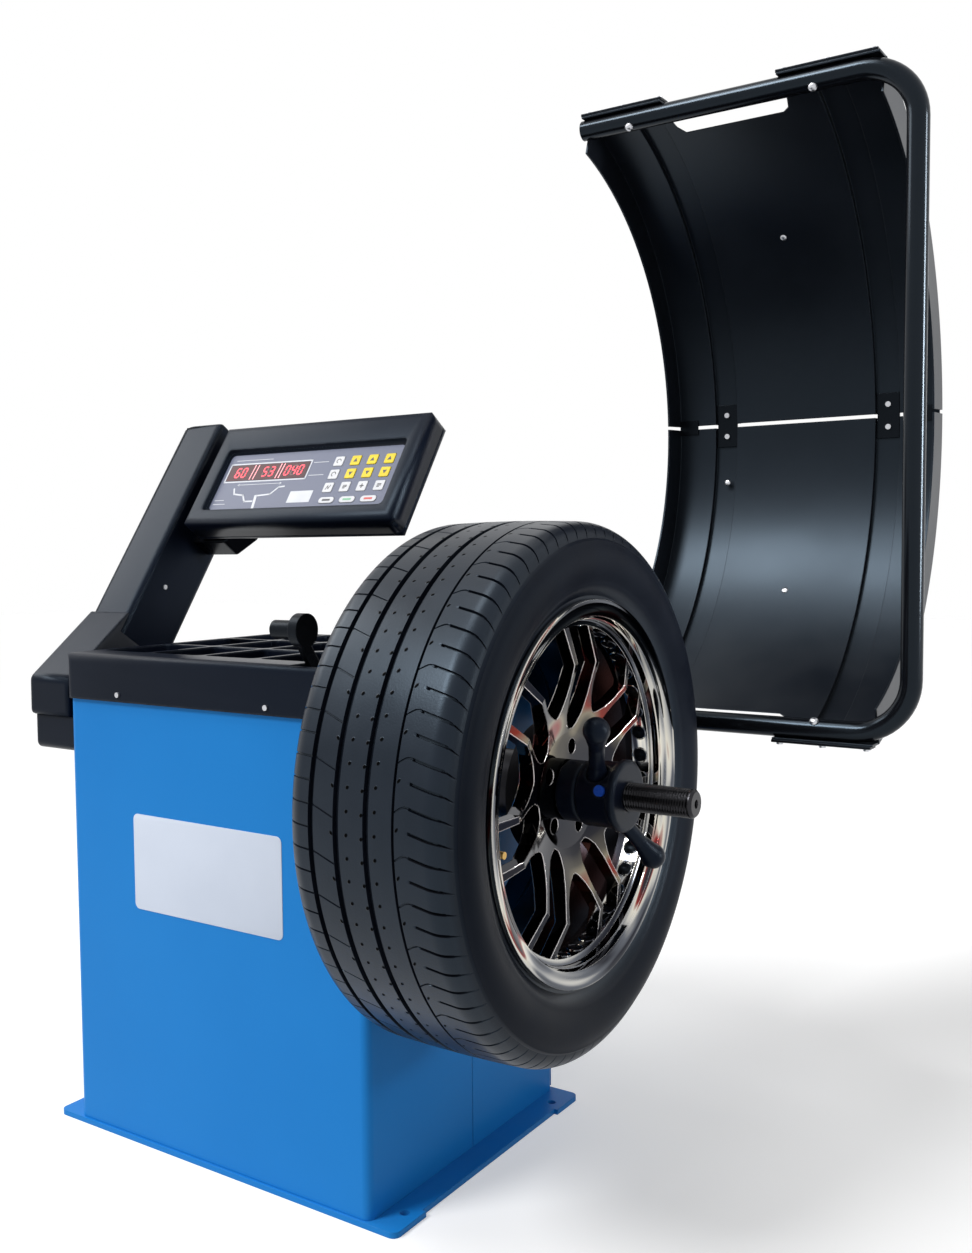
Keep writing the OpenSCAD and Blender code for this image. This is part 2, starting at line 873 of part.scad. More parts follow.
support_x = [right_x - 262, right_x - 92];
support_t = 12;
support_w = 160;
shelf_t = 12;
sensor_h = 16;
sensor_d = 30;
sensor_gap = 0.3;
shelf_top = spindle_z - housing_d / 2 - sensor_gap - sensor_h;

module spindle_housing() color(STEEL) on_spindle() difference() {
    bar_x(housing_d, housing_x0, housing_x1);
    bar_x(journal_d + 12, housing_x0 - past, housing_x1 + past);
    bar_x(bearing_d + 2 * push_fit, housing_x0 - past, housing_x0 + bearing_w);
    bar_x(bearing_d + 2 * push_fit, housing_x1 - bearing_w, housing_x1 + past);
}

module bearing(x0) difference() {
    bar_x(bearing_d, x0, x0 + bearing_w);
    bar_x(journal_d + 2 * run_fit, x0 - past, x0 + bearing_w + past);
}

module spindle_bearings() color(ZINC) on_spindle() {
    bearing(housing_x0);
    bearing(housing_x1 - bearing_w);
}

module spindle_support() color(BLUE) {
    for (x = support_x)
        difference() {
            span([x, spindle_y - support_w / 2, base_t],
                 [x + support_t, spindle_y + support_w / 2, spindle_z + 0.35 * support_w]);
            on_spindle()
                bar_x(housing_d + 2 * push_fit, x - past, x + support_t + past);
        }
    span([support_x[0] + support_t, spindle_y - support_w / 3, shelf_top - shelf_t],
         [support_x[1], spindle_y + support_w / 3, shelf_top]);
}

module force_sensors() color(ZINC)
    for (x = [support_x[0] + 45, support_x[1] - 33])
        translate([x, spindle_y, shelf_top])
            cylinder(d = sensor_d, h = sensor_h);

// Spindle with its wheel

module spindle_shaft() color(SATIN) on_spindle() difference() {
    chamfer = 3;
    turned([[0, tail_x0],
            [tail_d / 2, tail_x0],
            [tail_d / 2, housing_x0 - flange_gap],
            [journal_d / 2, housing_x0 - flange_gap],
            [journal_d / 2, journal_x1],
            [shaft_d / 2, journal_x1],
            [shaft_d / 2, tip_x - chamfer],
            [shaft_d / 2 - chamfer, tip_x],
            [0, tip_x]]);
    bar_x(10, tip_x - 14, tip_x + past);
}

module wheel_flange() color(SATIN) on_spindle() {
    bore = journal_d / 2 + push_fit;
    turned([[bore, housing_x1 + flange_gap],
            [flange_hub_d / 2, housing_x1 + flange_gap],
            [flange_hub_d / 2, seat_x - flange_t - 14],
            [flange_d / 2 - 8, seat_x - flange_t],
            [flange_d / 2, seat_x - flange_t],
            [flange_d / 2, seat_x],
            [cone_recess_d / 2, seat_x],
            [cone_recess_d / 2, seat_x - cone_recess],
            [bore, seat_x - cone_recess]]);
}

module centring_cone() color(STEEL) on_spindle() {
    clear = 0.4;
    slope = 0.45;
    r_seat = hub_bore_d / 2 - clear;
    x0 = seat_x - cone_recess + 2;
    x1 = seat_x + hub_t - 3;
    turned([[thread_bore_d / 2, x0],
            [r_seat + slope * (seat_x - x0), x0],
            [r_seat - slope * (x1 - seat_x), x1],
            [thread_bore_d / 2, x1]]);
}

module driven_pulley() color(STEEL) on_spindle() {
    bore = tail_d / 2 + push_fit;
    rim = 10;
    web = 6;
    turned([[bore, pulley_x0],
            [tail_d / 2 + 12, pulley_x0],
            [tail_d / 2 + 12, pulley_x0 + web],
            [pulley_d / 2 - rim, pulley_x0 + web],
            [pulley_d / 2 - rim, pulley_x0],
            [pulley_d / 2, pulley_x0],
            [pulley_d / 2, pulley_x1],
            [pulley_d / 2 - rim, pulley_x1],
            [pulley_d / 2 - rim, pulley_x1 - web],
            [tail_d / 2 + 12, pulley_x1 - web],
            [tail_d / 2 + 12, pulley_x1],
            [bore, pulley_x1]]);
}

encoder_slots = 24;

module encoder_disc() color(ZINC) on_spindle() difference() {
    x0 = pulley_x1 + 6;
    t = 2;
    r = 58;
    bar_x(2 * r, x0, x0 + t);
    bar_x(tail_d + 2 * push_fit, x0 - past, x0 + t + past);
    for (i = [0 : encoder_slots - 1])
        rotate([i * 360 / encoder_slots, 0, 0])
            span([x0 - past, -2, r - 14], [x0 + t + past, 2, r - 6]);
}

// Two-piece wheel: a barrel with a drop centre and a shoulder, and a dished centre with forked spokes
rim_r = rim_d / 2;
lip_r = rim_r + rim_flange_h;
half_rim = rim_w / 2;
lip_t = 7;
well_depth = 22;
face_r = rim_r - rim_t - 6.6;
face_out_r = rim_r - rim_t - 2;
face_t = 17;
face_rise = 12;
crest_r = 0.73 * rim_r;
crest_rise = 25;
shoulder_x = hub_x + face_rise - face_t - wheel_x;
shoulder_t = 8;

// Inner radius of the barrel's outer part at an offset from the wheel's middle
function band_r(x) = rim_r - rim_t - 3 * (half_rim - lip_t - 16 - x) / (half_rim - lip_t - 56);

module wheel_rim() color(CHROME) on_spindle() {
    seat = half_rim - lip_t;
    turned([for (p = [[lip_r, -half_rim], [lip_r, -seat], [rim_r, -seat],
                      [rim_r - 3, -seat + 36], [rim_r - well_depth, -seat + 56],
                      [rim_r - well_depth, 12], [rim_r - 3, 36], [rim_r, seat],
                      [lip_r, seat], [lip_r, half_rim],
                      [lip_r - 7, half_rim], [rim_r - rim_t / 2, seat + 2], [rim_r - rim_t + 1, seat - 5],
                      [rim_r - rim_t, seat - 16],
                      [band_r(shoulder_x), shoulder_x], [face_r, shoulder_x],
                      [face_r, shoulder_x - shoulder_t],
                      [band_r(shoulder_x - shoulder_t), shoulder_x - shoulder_t],
                      [band_r(seat - 56), seat - 56], [rim_r - well_depth - rim_t, 16],
                      [rim_r - well_depth - rim_t, -seat + 54],
                      [rim_r - 3 - rim_t, -seat + 34], [rim_r - rim_t, -seat + 6],
                      [rim_r - rim_t / 2, -seat - 2], [lip_r - 7, -half_rim]])
            [p[0], wheel_x + p[1]]]);
}

module rim_face() {
    turned([[hub_bore_d / 2, seat_x],
            [hub_d / 2, seat_x],
            [crest_r, hub_x + crest_rise - face_t],
            [face_r - 2, hub_x + face_rise - face_t],
            [face_out_r, hub_x + face_rise - face_t],
            [face_out_r, hub_x + face_rise],
            [face_r - 2, hub_x + face_rise],
            [crest_r, hub_x + crest_rise],
            [hub_d / 2, hub_x],
            [hub_bore_d / 2, hub_x]]);
}

// Point at a radius and an angle, in the plane of the wheel
function polar(r, a) = [r * cos(a), r * sin(a)];

// Prism along X through the rim's face
module face_cut(points) {
    translate([seat_x - 40, 0, 0])
        rotate([90, 0, 90])
            linear_extrude(120)
                polygon(points);
}

// Window outline from [radius, share of the spoke step to each side] pairs, from the hub outwards
function fan(pairs, step) = concat(
    [for (p = pairs) polar(p[0], -p[1] * step)],
    [for (i = [len(pairs) - 1 : -1 : 0]) polar(pairs[i][0], pairs[i][1] * step)]);

gap_share = 0.136;
gap_mid = 0.06;
fork_share = 0.303;

// Gaps between neighbouring spokes, and the fork inside each spoke
module spoke_windows() {
    step = 360 / spokes;
    root = hub_d / 2;
    for (i = [0 : spokes - 1])
        rotate([i * step, 0, 0]) {
            face_cut(fan([[root + 5, 0.09], [root + 12, 0.16], [root + 26, 0.22], [root + 50, 0.21],
                          [crest_r - 3, 0.165], [face_r, gap_share], [face_r, gap_mid]], step));
            rotate([step / 2, 0, 0])
                face_cut(fan([[root + 33, 0.03], [root + 38, 0.1], [root + 50, 0.19], [root + 66, 0.25],
                              [crest_r - 3, 0.278], [face_r, fork_share], [face_r, 0.2],
                              [face_r, 0.1]], step));
        }
}

spoke_turn = 191.7 - 4 * 360 / 7;
lug_holes = 5;
lug_pcd = 112;
lug_d = 20;

module wheel_centre() color(CHROME) on_spindle() difference() {
    rim_face();
    rotate([spoke_turn, 0, 0])
        spoke_windows();
    for (i = [0 : lug_holes - 1])
        rotate([i * 360 / lug_holes - 8, 0, 0])
            translate([0, 0, lug_pcd / 2])
                bar_x(lug_d, seat_x - past, hub_x + past);
}

// Tyre: crown with circumferential grooves, round shoulders, bulged sidewalls and beads
tread_r = tyre_d / 2;
bead_gap = 0.3;
groove_at = [46.5, 10, -32, -69];
tyre_wall = 11;

// Groove from one side of its middle to the other, as profile points
function groove(at, w, depth) =
    [[tread_r, at + w / 2], [tread_r - depth, at + w / 2 - 1.5],
     [tread_r - depth, at - w / 2 + 1.5], [tread_r, at - w / 2]];

// Quarter-ellipse side of the tyre between bead and shoulder, as [radius, offset]
function sidewall(bead, bulge, r0, r1, side, n) =
    [for (i = [0 : n]) let (a = -70 + 150 * i / n)
        [r0 + (r1 - r0) * (sin(a) + sin(70)) / (sin(80) + sin(70)),
         side * (bead + (bulge - bead) * (cos(a) - cos(80)) / (1 - cos(80)))]];

module tyre() color("#151517") on_spindle() {
    half = tyre_w / 2;
    shoulder = tread_w / 2;
    bead = half_rim - lip_t - bead_gap;
    bead_r = rim_r + bead_gap;
    shoulder_r = tread_r - 12;
    right_wall = sidewall(shoulder, half, lip_r + 6, shoulder_r, 1, 8);
    left_wall = [for (i = [len(right_wall) - 1 : -1 : 0]) [right_wall[i][0], -right_wall[i][1]]];
    inner_r = tread_r - 16;
    outer = concat(
        [[bead_r, bead], [lip_r + 3, bead]],
        right_wall,
        [[tread_r - 3, shoulder - 6]],
        groove(groove_at[0], 4, groove_depth),
        [for (i = [1 : len(groove_at) - 1]) each groove(groove_at[i], groove_w, groove_depth)],
        [[tread_r - 3, -shoulder + 6]],
        left_wall,
        [[lip_r + 3, -bead], [bead_r, -bead]]);
    inner = [[bead_r, -bead + 14], [lip_r + 8, -half + tyre_wall + 6], [tread_r - 48, -half + tyre_wall],
             [inner_r, -shoulder + 14], [inner_r, shoulder - 14], [tread_r - 48, half - tyre_wall],
             [lip_r + 8, half - tyre_wall - 6], [bead_r, bead - 14]];
    turned([for (p = concat(outer, inner)) [p[0], wheel_x + p[1]]]);
}

valve_d = 9;
valve_r = rim_r - 26;
valve_x0 = hub_x + face_rise - face_t + 5;

// Valve in a gap between two spokes: its foot stands on the rim, its stem points out along X
module tyre_valve() color("#b98a3a") on_spindle()
    rotate([spoke_turn + 4 * 360 / spokes - 90, 0, 0]) {
        translate([valve_x0, 0, valve_r])
            cylinder(d = valve_d, h = face_r * cos(gap_mid * 360 / spokes) - 0.2 - valve_r);
        translate([0, 0, valve_r])
            bar_x(valve_d, valve_x0 - valve_d / 2, valve_x0 + 24);
    }

// Clamping nut

module pressure_cup() color(BLACK) on_spindle() {
    lip = 8;
    turned([[thread_bore_d / 2, cup_x1 - 12],
            [cup_d / 2 - lip, cup_x1 - 12],
            [cup_d / 2 - lip, cup_x0],
            [cup_d / 2 - 2, cup_x0],
            [cup_d / 2, cup_x0 + 2],
            [cup_d / 2, cup_x1 - 3],
            [cup_d / 2 - 3, cup_x1],
            [thread_bore_d / 2, cup_x1]]);
}

handle_seat = nut_d / 2 - 4;
handle_peg_d = handle_d - 6;
button_x = nut_x0 + 36;
button_hole_depth = 14;

module nut_hub() color(BLACK) on_spindle() difference() {
    turned([[thread_bore_d / 2, nut_x0],
            [nut_d / 2 - 3, nut_x0],
            [nut_d / 2, nut_x0 + 3],
            [nut_d / 2, nut_x1],
            [nut_disc_d / 2 - 3, nut_x1],
            [nut_disc_d / 2, nut_x1 + 3],
            [nut_disc_d / 2, nut_x1 + nut_disc_t - 3],
            [nut_disc_d / 2 - 3, nut_x1 + nut_disc_t],
            [thread_bore_d / 2, nut_x1 + nut_disc_t]]);
    button_place()
        translate([0, 0, nut_d / 2 - button_hole_depth])
            cylinder(d = button_d + 1, h = button_hole_depth + past);
    handle_places()
        translate([0, 0, handle_seat - 14])
            cylinder(d = handle_peg_d + 2 * push_fit, h = 30);
    handle_places()
        translate([0, 0, handle_seat])
            cylinder(d = handle_d + 9, h = 30);
}

// Frame of the release button: Z points out of the nut towards the front
module button_place() {
    translate([button_x, 0, 0])
        rotate([74, 0, 0])
            children();
}

module release_button() color("#1f6fe0") on_spindle()
    button_place()
        translate([0, 0, nut_d / 2 - button_hole_depth + button_travel + 0.4])
            cylinder(d = button_d, h = button_hole_depth);

// Frames of the two handles: Z points outwards along the stem
module handle_places() {
    for (turn = [0, 180])
        rotate([handle_turn + turn, 0, 0])
            translate([nut_x0 + 12, 0, 0])
                rotate([0, handle_tilt, 0])
                    children();
}

module nut_handles() color(BLACK) on_spindle()
    handle_places() {
        root = handle_seat + 0.3;
        stem = handle_d / 2;
        ball = handle_ball_d / 2;
        len = handle_reach - root;
        peg = 12;
        translate([0, 0, handle_seat - peg])
            cylinder(d = handle_peg_d, h = peg + 1);
        translate([0, 0, root])
            rotate_extrude()
                polygon([[0, 0], [stem + 4, 0], [stem + 3, 6], [stem, 22], [stem, len - 30],
                         [0.9 * ball, len - 0.39 * ball], [0, len]]);
        translate([0, 0, handle_reach])
            sphere(d = handle_ball_d);
    }

// Drive

motor_shaft_d = 18;

module at_motor() {
    translate([0, motor_y, motor_z])
        children();
}

motor_x0 = pulley_x1 + 12;

module motor() color(STEEL) at_motor() difference() {
    union() {
        bar_x(motor_d, motor_x0, motor_x0 + motor_len);
        span([motor_x0 + 20, -motor_d / 3, -motor_d / 2 - 6],
             [motor_x0 + motor_len - 20, motor_d / 3, -motor_d / 3]);
    }
    bar_x(motor_shaft_d + 2 * run_fit, motor_x0 - past, motor_x0 + 40);
}

module motor_pulley() color(ZINC) at_motor() {
    bar_x(motor_pulley_d, pulley_x0, pulley_x1);
    bar_x(motor_shaft_d, pulley_x1, motor_x0 + 38);
}

// Bent bracket that stands on the base plate and carries the motor's feet
module motor_bracket() color(BLUE) {
    t = 5;
    top = motor_z - motor_d / 2 - 6;
    half = motor_d / 3 + 12;
    side_prism([[motor_y - half, base_t], [motor_y - half, top], [motor_y + half, top],
               [motor_y + half, base_t],
                [motor_y + half - t, base_t], [motor_y + half - t, top - t],
                [motor_y - half + t, top - t], [motor_y - half + t, base_t]],
               motor_x0 + 14, motor_x0 + motor_len - 14);
}

module belt_loop(grow) {
    hull() {
        translate([spindle_y, spindle_z])
            circle(pulley_d / 2 + belt_gap + grow);
        translate([motor_y, motor_z])
            circle(motor_pulley_d / 2 + belt_gap + grow);
    }
}

module drive_belt() color(BLACK)
    translate([pulley_x0 + 2, 0, 0])
        rotate([90, 0, 90])
            linear_extrude(pulley_w - 4)
                difference() {
                    belt_loop(belt_t);
                    belt_loop(0);
                }

board_y0 = -60;
board_z0 = 300;

// Control board on four posts at the cabinet's left side
module power_board() color("#1f6b45") {
    x0 = left_x + cab_wall;
    stand = 14;
    board_t = 2;
    board_d = 200;
    board_h = 150;
    for (y = [10, board_d - 10], z = [10, board_h - 10])
        translate([0, board_y0 + y, board_z0 + z])
            bar_x(8, x0, x0 + stand);
    span([x0 + stand, board_y0, board_z0], [x0 + stand + board_t, board_y0 + board_d, board_z0 + board_h]);
    span([x0 + stand + board_t, board_y0 + 20, board_z0 + 20],
         [x0 + stand + board_t + 45, board_y0 + 80, board_z0 + 80]);
    span([x0 + stand + board_t, board_y0 + 110, board_z0 + 60],
         [x0 + stand + board_t + 12, board_y0 + 150, board_z0 + 100]);
}

// Hood

block_w = 40;
block_x = [right_x - 280, right_x - 58];
block_z = 28;
collar_t = 10;

module hood_bearings() color(BLACK)
    for (x = block_x)
        difference() {
            span([x, rear_y, hood_low_z - block_z],
                 [x + block_w, hood_y + tube_d / 2 + 8, hood_low_z + block_z]);
            translate([0, hood_y, hood_low_z])
                bar_x(tube_d + 2 * run_fit, x - past, x + block_w + past);
        }

tube_x0 = block_x[0] - 16;

// One tube bent to a U: lower bar, upright and upper bar, d thick, running past its ends by extra
module bent_tube(d, extra) {
    r = hood_bend_r;
    translate([0, hood_y, hood_low_z])
        bar_x(d, tube_x0 - extra, tube_x1 - r);
    translate([0, hood_y, hood_top_z])
        bar_x(d, sheet_x0 - 2 - extra, tube_x1 - r);
    translate([tube_x1, hood_y, hood_low_z + r])
        cylinder(d = d, h = hood_h - 2 * r);
    translate([tube_x1 - r, hood_y, hood_low_z + r])
        rotate([90, 0, 0])
            rotate([0, 0, -90])
                rotate_extrude(angle = 90)
                    translate([r, 0])
                        circle(d = d);
    translate([tube_x1 - r, hood_y, hood_top_z - r])
        rotate([90, 0, 0])
            rotate_extrude(angle = 90)
                translate([r, 0])
                    circle(d = d);
}

module hood_tube() color(BLACK) difference() {
    bent_tube(tube_d, 0);
    bent_tube(tube_d - 2 * tube_wall, past);
}

// Sweeps a profile of [radius, x] about the hood's own centre line, from one angle to another
module hood_sweep(points, a0, a1) {
    translate([0, hood_cy, hood_mid_z])
        rotate([0, 90, 0])
            rotate([0, 0, a0 + 90])
                rotate_extrude(angle = a1 - a0)
                    polygon(points);
}

channel_x = [sheet_x0 + channel_in, sheet_x0 + channel_in + channel_pitch];
sheet_in_r = hood_r - hood_t;
flange_in_r = hood_r - hood_flange;
gap_half = asin(hood_gap / 2 / hood_r);

// Outline of the sheet's outer or inner side: flange, sheet and two channels
function sheet_side(r, inset, grow) = concat(
    [[flange_in_r, sheet_x0 + inset], [r, sheet_x0 + inset]],
    [for (x = channel_x, p = [[0, -grow], [channel_depth, -grow],
                              [channel_depth, channel_w + grow], [0, channel_w + grow]])
        [r + p[0], x + p[1]]],
    [[r, sheet_x1 - inset], [flange_in_r, sheet_x1 - inset]]);

function reversed(list) = [for (i = [len(list) - 1 : -1 : 0]) list[i]];

sheet_profile = concat(sheet_side(hood_r, 0, hood_t), reversed(sheet_side(sheet_in_r, hood_t, 0)));

module upper_half(from) {
    difference() {
        hood_sweep(sheet_profile, from, hood_half);
        grip_cut();
        bent_tube(tube_d + 1, past);
    }
    for (x = clamp_x)
        span([x + past, hood_y - clamp_w / 2, hood_top_z + tube_d / 2],
             [x - past + (x == clamp_x[0] ? clamp_len : sheet_x1 - x), sheet_end_y + 2 * hood_t,
              hood_mid_z + tab_top_h]);
}

// Hand opening between the bar and the sheet's edge
module grip_cut() {
    z0 = hood_top_z + tube_d / 2 - grip_h + hood_t;
    grip_x1 = grip_x0 + grip_w - 4;
    translate([0, hood_y + 300, 0])
        rotate([90, 0, 0])
            linear_extrude(300)
                polygon([[grip_x0 + 4, z0], [grip_x1 - 14, z0], [grip_x1 - 5, z0 + 3], [grip_x1, z0 + 12],
                         [grip_x1, hood_top_z + 60], [grip_x0 - 12, hood_top_z + 60],
                         [grip_x0 - 12, z0 + 20], [grip_x0 - 7, z0 + 7]]);
}

// Lower half: an upper half turned over about the hood's middle
module lower_half() {
    translate([0, 0, 2 * hood_mid_z])
        mirror([0, 0, 1])
            upper_half(gap_half - hood_joint);
}

module hood_upper_panel() color(SATIN) upper_half(gap_half + hood_joint);

module hood_lower_panel() color(SATIN) lower_half();

plate_half = 4.3;
clip_half = 1.5;
clip_len = 34;
seat_gap = 0.1;

// Flat bars that clamp the sheet's edges on the bars, joining plates in the channels across the gap,
// and clips over the side strips
module hood_brackets() color(BLACK) {
    for (s = [-1, 1], x = clamp_x)
        translate([x, hood_y - clamp_w / 2, hood_mid_z + s * (tab_top_h + clamp_t / 2) - clamp_t / 2])
            cube([x == clamp_x[0] ? clamp_len : sheet_x1 - x - 4, clamp_w, clamp_t]);
    r = sheet_in_r - seat_gap;
    deep = r + channel_depth;
    for (x = channel_x)
        hood_sweep([[deep - 3, x + 2], [deep, x + 2], [deep, x + channel_w - 2],
                   [deep - 3, x + channel_w - 2]],
                   hood_joint - plate_half, hood_joint + plate_half);
    for (x = [sheet_x0 + hood_t + seat_gap, sheet_x1 - hood_t - seat_gap - clip_len])
        hood_sweep([[r - 3, x], [r, x], [r, x + clip_len], [r - 3, x + clip_len]],
                   hood_joint - clip_half, hood_joint + clip_half);
}

// Screw heads on the clamping bars, under the bars and on the joining plates
module hood_screws() color(ZINC) {
    for (s = [-1, 1], x = clamp_x, t = [0.06, 0.5, 0.94])
        translate([x + t * (x == clamp_x[0] ? clamp_len : sheet_x1 - x - 4), hood_y,
                   hood_mid_z + s * (tab_top_h + clamp_t + 2)])
            cylinder(d = 10, h = 4, center = true);
    deep = sheet_in_r - seat_gap + channel_depth - 3.03;
    for (x = channel_x, a = [-plate_half / 2, plate_half / 2])
        translate([x + channel_w / 2, hood_cy, hood_mid_z])
            rotate([hood_joint + a, 0, 0])
                translate([0, deep, 0])
                    rotate([90, 0, 0])
                        cylinder(d = 9, h = 3.5);
}

// Distance gauge

module at_rod() {
    translate([0, rod_y, gauge_z])
        children();
}

module gauge_carriage() color(STEEL) difference() {
    span([carriage_x0, rod_y - 16, gauge_z - 15], [carriage_x0 + carriage_len, guide_y + 14, deck_z - 1]);
    at_rod()
        bar_x(gauge_rod_d + 2 * run_fit, carriage_x0 - past, carriage_x0 + carriage_len + past);
    translate([0, guide_y, gauge_z])
        bar_x(guide_d + 2 * run_fit, carriage_x0 - past, carriage_x0 + carriage_len + past);
}

// Fixed guide bar and its two end blocks under the tray
module gauge_guide() color(ZINC) {
    t = 8;
    translate([0, guide_y, gauge_z])
        bar_x(guide_d, guide_x0, guide_x1);
    for (x = [guide_x0 - t, guide_x1 - t])
        span([x, guide_y - 12, gauge_z - 12], [x + t, guide_y + 12, deck_z]);
}

// Rod with its arm, grip and measuring disc
module gauge_rod() color(BLACK) at_rod() {
    bar_x(gauge_rod_d, rod_x0, arm_x + gauge_arm_t / 2);
    bar_x(2 * hub_r, arm_x - gauge_arm_t / 2 - 1.5, arm_x + gauge_arm_t / 2 + 2);
    rotate([gauge_lean, 0, 0]) {
        span([arm_x - gauge_arm_t / 2, -gauge_arm_w / 2, -4],
             [arm_x + gauge_arm_t / 2, gauge_arm_w / 2, gauge_arm_len]);
        translate([0, 0, gauge_arm_len]) {
            bar_x(gauge_arm_w + 8, arm_x - gauge_arm_t / 2 - 32, arm_x + gauge_arm_t / 2 + 6);
            bar_x(gauge_disc_d, arm_x + gauge_arm_t / 2 + 1, arm_x + gauge_arm_t / 2 + 16);
        }
    }
}

base_plate();
cabinet_shell();
rear_panel();
case_screws();
weight_tray();
column_foot();
side_box();
display_column();
head_shell();
head_back_cover();
head_neck();
control_panel();
display_window();
spindle_housing();
spindle_bearings();
spindle_support();
force_sensors();
motor();
motor_bracket();
drive_belt();
power_board();
power_inlet();
hood_bearings();
gauge_guide();
spindle_shaft();
wheel_flange();
driven_pulley();
encoder_disc();
centring_cone();
wheel_rim();
wheel_centre();
tyre();
tyre_valve();
motor_pulley();
pressure_cup();
nut_hub();
nut_handles();
release_button();
hood_tube();
hood_upper_panel();
hood_lower_panel();
hood_brackets();
hood_screws();
gauge_carriage();
gauge_rod();
for (row = [0 : KEY_ROWS - 1], col = [0 : KEY_COLS - 1])
    panel_key(row, col);
for (i = [0 : OVALS - 1])
    oval_key(i);
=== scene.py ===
# %% [markdown]
# # A wheel balancer, dressed
# A garage machine that spins a clamped car wheel and reads where it is heavy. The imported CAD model
# is the fixed frame: lengths are in metres in that same frame, with +X along the spindle, +Y to the
# back and +Z up, and only the head's panel and posts are drawn in millimetres. This lesson gives the
# frame its finishes, and adds the pieces whose looks a plain solid can't carry: tread, thread,
# printed panel, lit digits, rounded edges and small hardware.

# %% Load the frame
import json
import math

import bmesh
import bpy
import numpy as np
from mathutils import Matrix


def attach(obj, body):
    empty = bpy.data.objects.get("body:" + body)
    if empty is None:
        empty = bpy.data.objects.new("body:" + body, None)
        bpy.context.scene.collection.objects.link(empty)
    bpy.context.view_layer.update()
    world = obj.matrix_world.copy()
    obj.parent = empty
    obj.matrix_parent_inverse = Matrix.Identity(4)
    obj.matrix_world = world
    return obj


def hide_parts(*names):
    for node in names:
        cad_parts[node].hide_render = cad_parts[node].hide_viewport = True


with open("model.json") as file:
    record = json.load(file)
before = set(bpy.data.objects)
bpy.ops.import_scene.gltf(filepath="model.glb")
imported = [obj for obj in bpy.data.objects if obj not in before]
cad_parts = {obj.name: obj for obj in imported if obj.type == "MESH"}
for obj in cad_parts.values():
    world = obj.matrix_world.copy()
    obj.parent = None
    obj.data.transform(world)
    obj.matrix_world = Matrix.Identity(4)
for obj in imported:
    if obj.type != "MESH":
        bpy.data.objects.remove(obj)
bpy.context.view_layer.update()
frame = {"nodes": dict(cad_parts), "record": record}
nodes = frame["nodes"]
slot_of = {row["node"]: row["material_slot"] for row in frame["record"]["subparts"]}
body_of = {}
for body, members in frame["record"]["behaviour"]["bodies"].items():
    body_of.update({member: body for member in members})

# %% [markdown]
# ## Camera
# The picture was taken from the front right, a little above the spindle. The camera's place and lens
# were solved from the cabinet's edges and the wheel's ellipses, so its numbers are simply stated.
# The picture is taller than wide, so the sensor's 36 mm run along its height.

# %% Camera
scene = bpy.context.scene
YAW, PITCH, ROLL = math.radians(34.604), math.radians(3.484), math.radians(-0.589)
CAMERA_AT = np.array([[1.2845], [-1.5146], [0.9049]])
SENSOR, FOCAL_PIXELS, PICTURE_HIGH = 36.0, 1246.2, 1253

ahead = np.array([-math.sin(YAW) * math.cos(PITCH), math.cos(YAW) * math.cos(PITCH), -math.sin(PITCH)])
level = np.array([math.cos(YAW), math.sin(YAW), 0.0])
upright = np.cross(level, ahead)
right = math.cos(ROLL) * level + math.sin(ROLL) * upright
above = -math.sin(ROLL) * level + math.cos(ROLL) * upright


def placed(name, data):
    """A new object with this data, linked into the scene."""
    thing = bpy.data.objects.new(name, data)
    scene.collection.objects.link(thing)
    return thing


lens = bpy.data.cameras.new("camera")
lens.sensor_fit = "VERTICAL"
lens.sensor_height = SENSOR
lens.lens = SENSOR * FOCAL_PIXELS / PICTURE_HIGH
lens.shift_x, lens.shift_y = 0.0384, -0.0026
lens.clip_end = 60
camera = scene.camera = placed("camera", lens)
camera.matrix_world = np.block([
    [np.stack([right, above, -ahead], 1), CAMERA_AT], [np.zeros((1, 3)), np.ones((1, 1))]]).T.tolist()
print("lens", round(lens.lens, 2))

# %% [markdown]
# ## Small tools for shader nets
# Every finish is a net of nodes. One helper writes a value on a socket or links another node's
# output to it, and the next places a node with its options, which keeps each net a few lines long.

# %% Node helpers
def feed(tree, socket, value):
    """Links another node's output to a socket or writes a value on it; a colour of three gets alpha 1."""
    if isinstance(value, bpy.types.NodeSocket):
        tree.links.new(value, socket)
    else:
        socket.default_value = (*value, 1) if socket.type == "RGBA" and len(value) == 3 else value


def fill(tree, node, **inputs):
    """Feeds a node's sockets by name, an underscore standing for a space; gives its outputs."""
    for key, value in inputs.items():
        feed(tree, node.inputs[key.replace("_", " ")], value)
    return node.outputs


def put(tree, kind, inputs=None, **settings):
    """A shader node of that kind: settings are its options, inputs its socket values or links."""
    node = tree.nodes.new("ShaderNode" + kind)
    for key, value in settings.items():
        setattr(node, key, value)
    for key, value in (inputs or {}).items():
        feed(tree, node.inputs[key], value)
    return node


def calc(tree, operation, a, b=0.0):
    """The result of one Math node on two numbers or sockets."""
    return put(tree, "Math", {0: a, 1: b}, operation=operation).outputs[0]


def times(tree, a, b):
    """The product of two numbers or sockets."""
    return calc(tree, "MULTIPLY", a, b)


def vector(tree, operation, inputs):
    """The outputs of one Vector Math node."""
    return put(tree, "VectorMath", inputs, operation=operation).outputs


def noise(tree, place, scale, **more):
    """A noise texture's value between 0 and 1 at a place."""
    return put(tree, "TexNoise", {"Vector": place, "Scale": scale, **more}).outputs["Fac"]


def blend(tree, share, a, b):
    """Colour a where share is 0 and b where it is 1."""
    return put(tree, "Mix", {0: share, 6: a, 7: b}, data_type="RGBA").outputs[2]


def ramp(tree, value, low, high):
    """0 below low, 1 above high, and a straight rise between."""
    return put(tree, "MapRange", {0: value, 1: low, 2: high}).outputs[0]


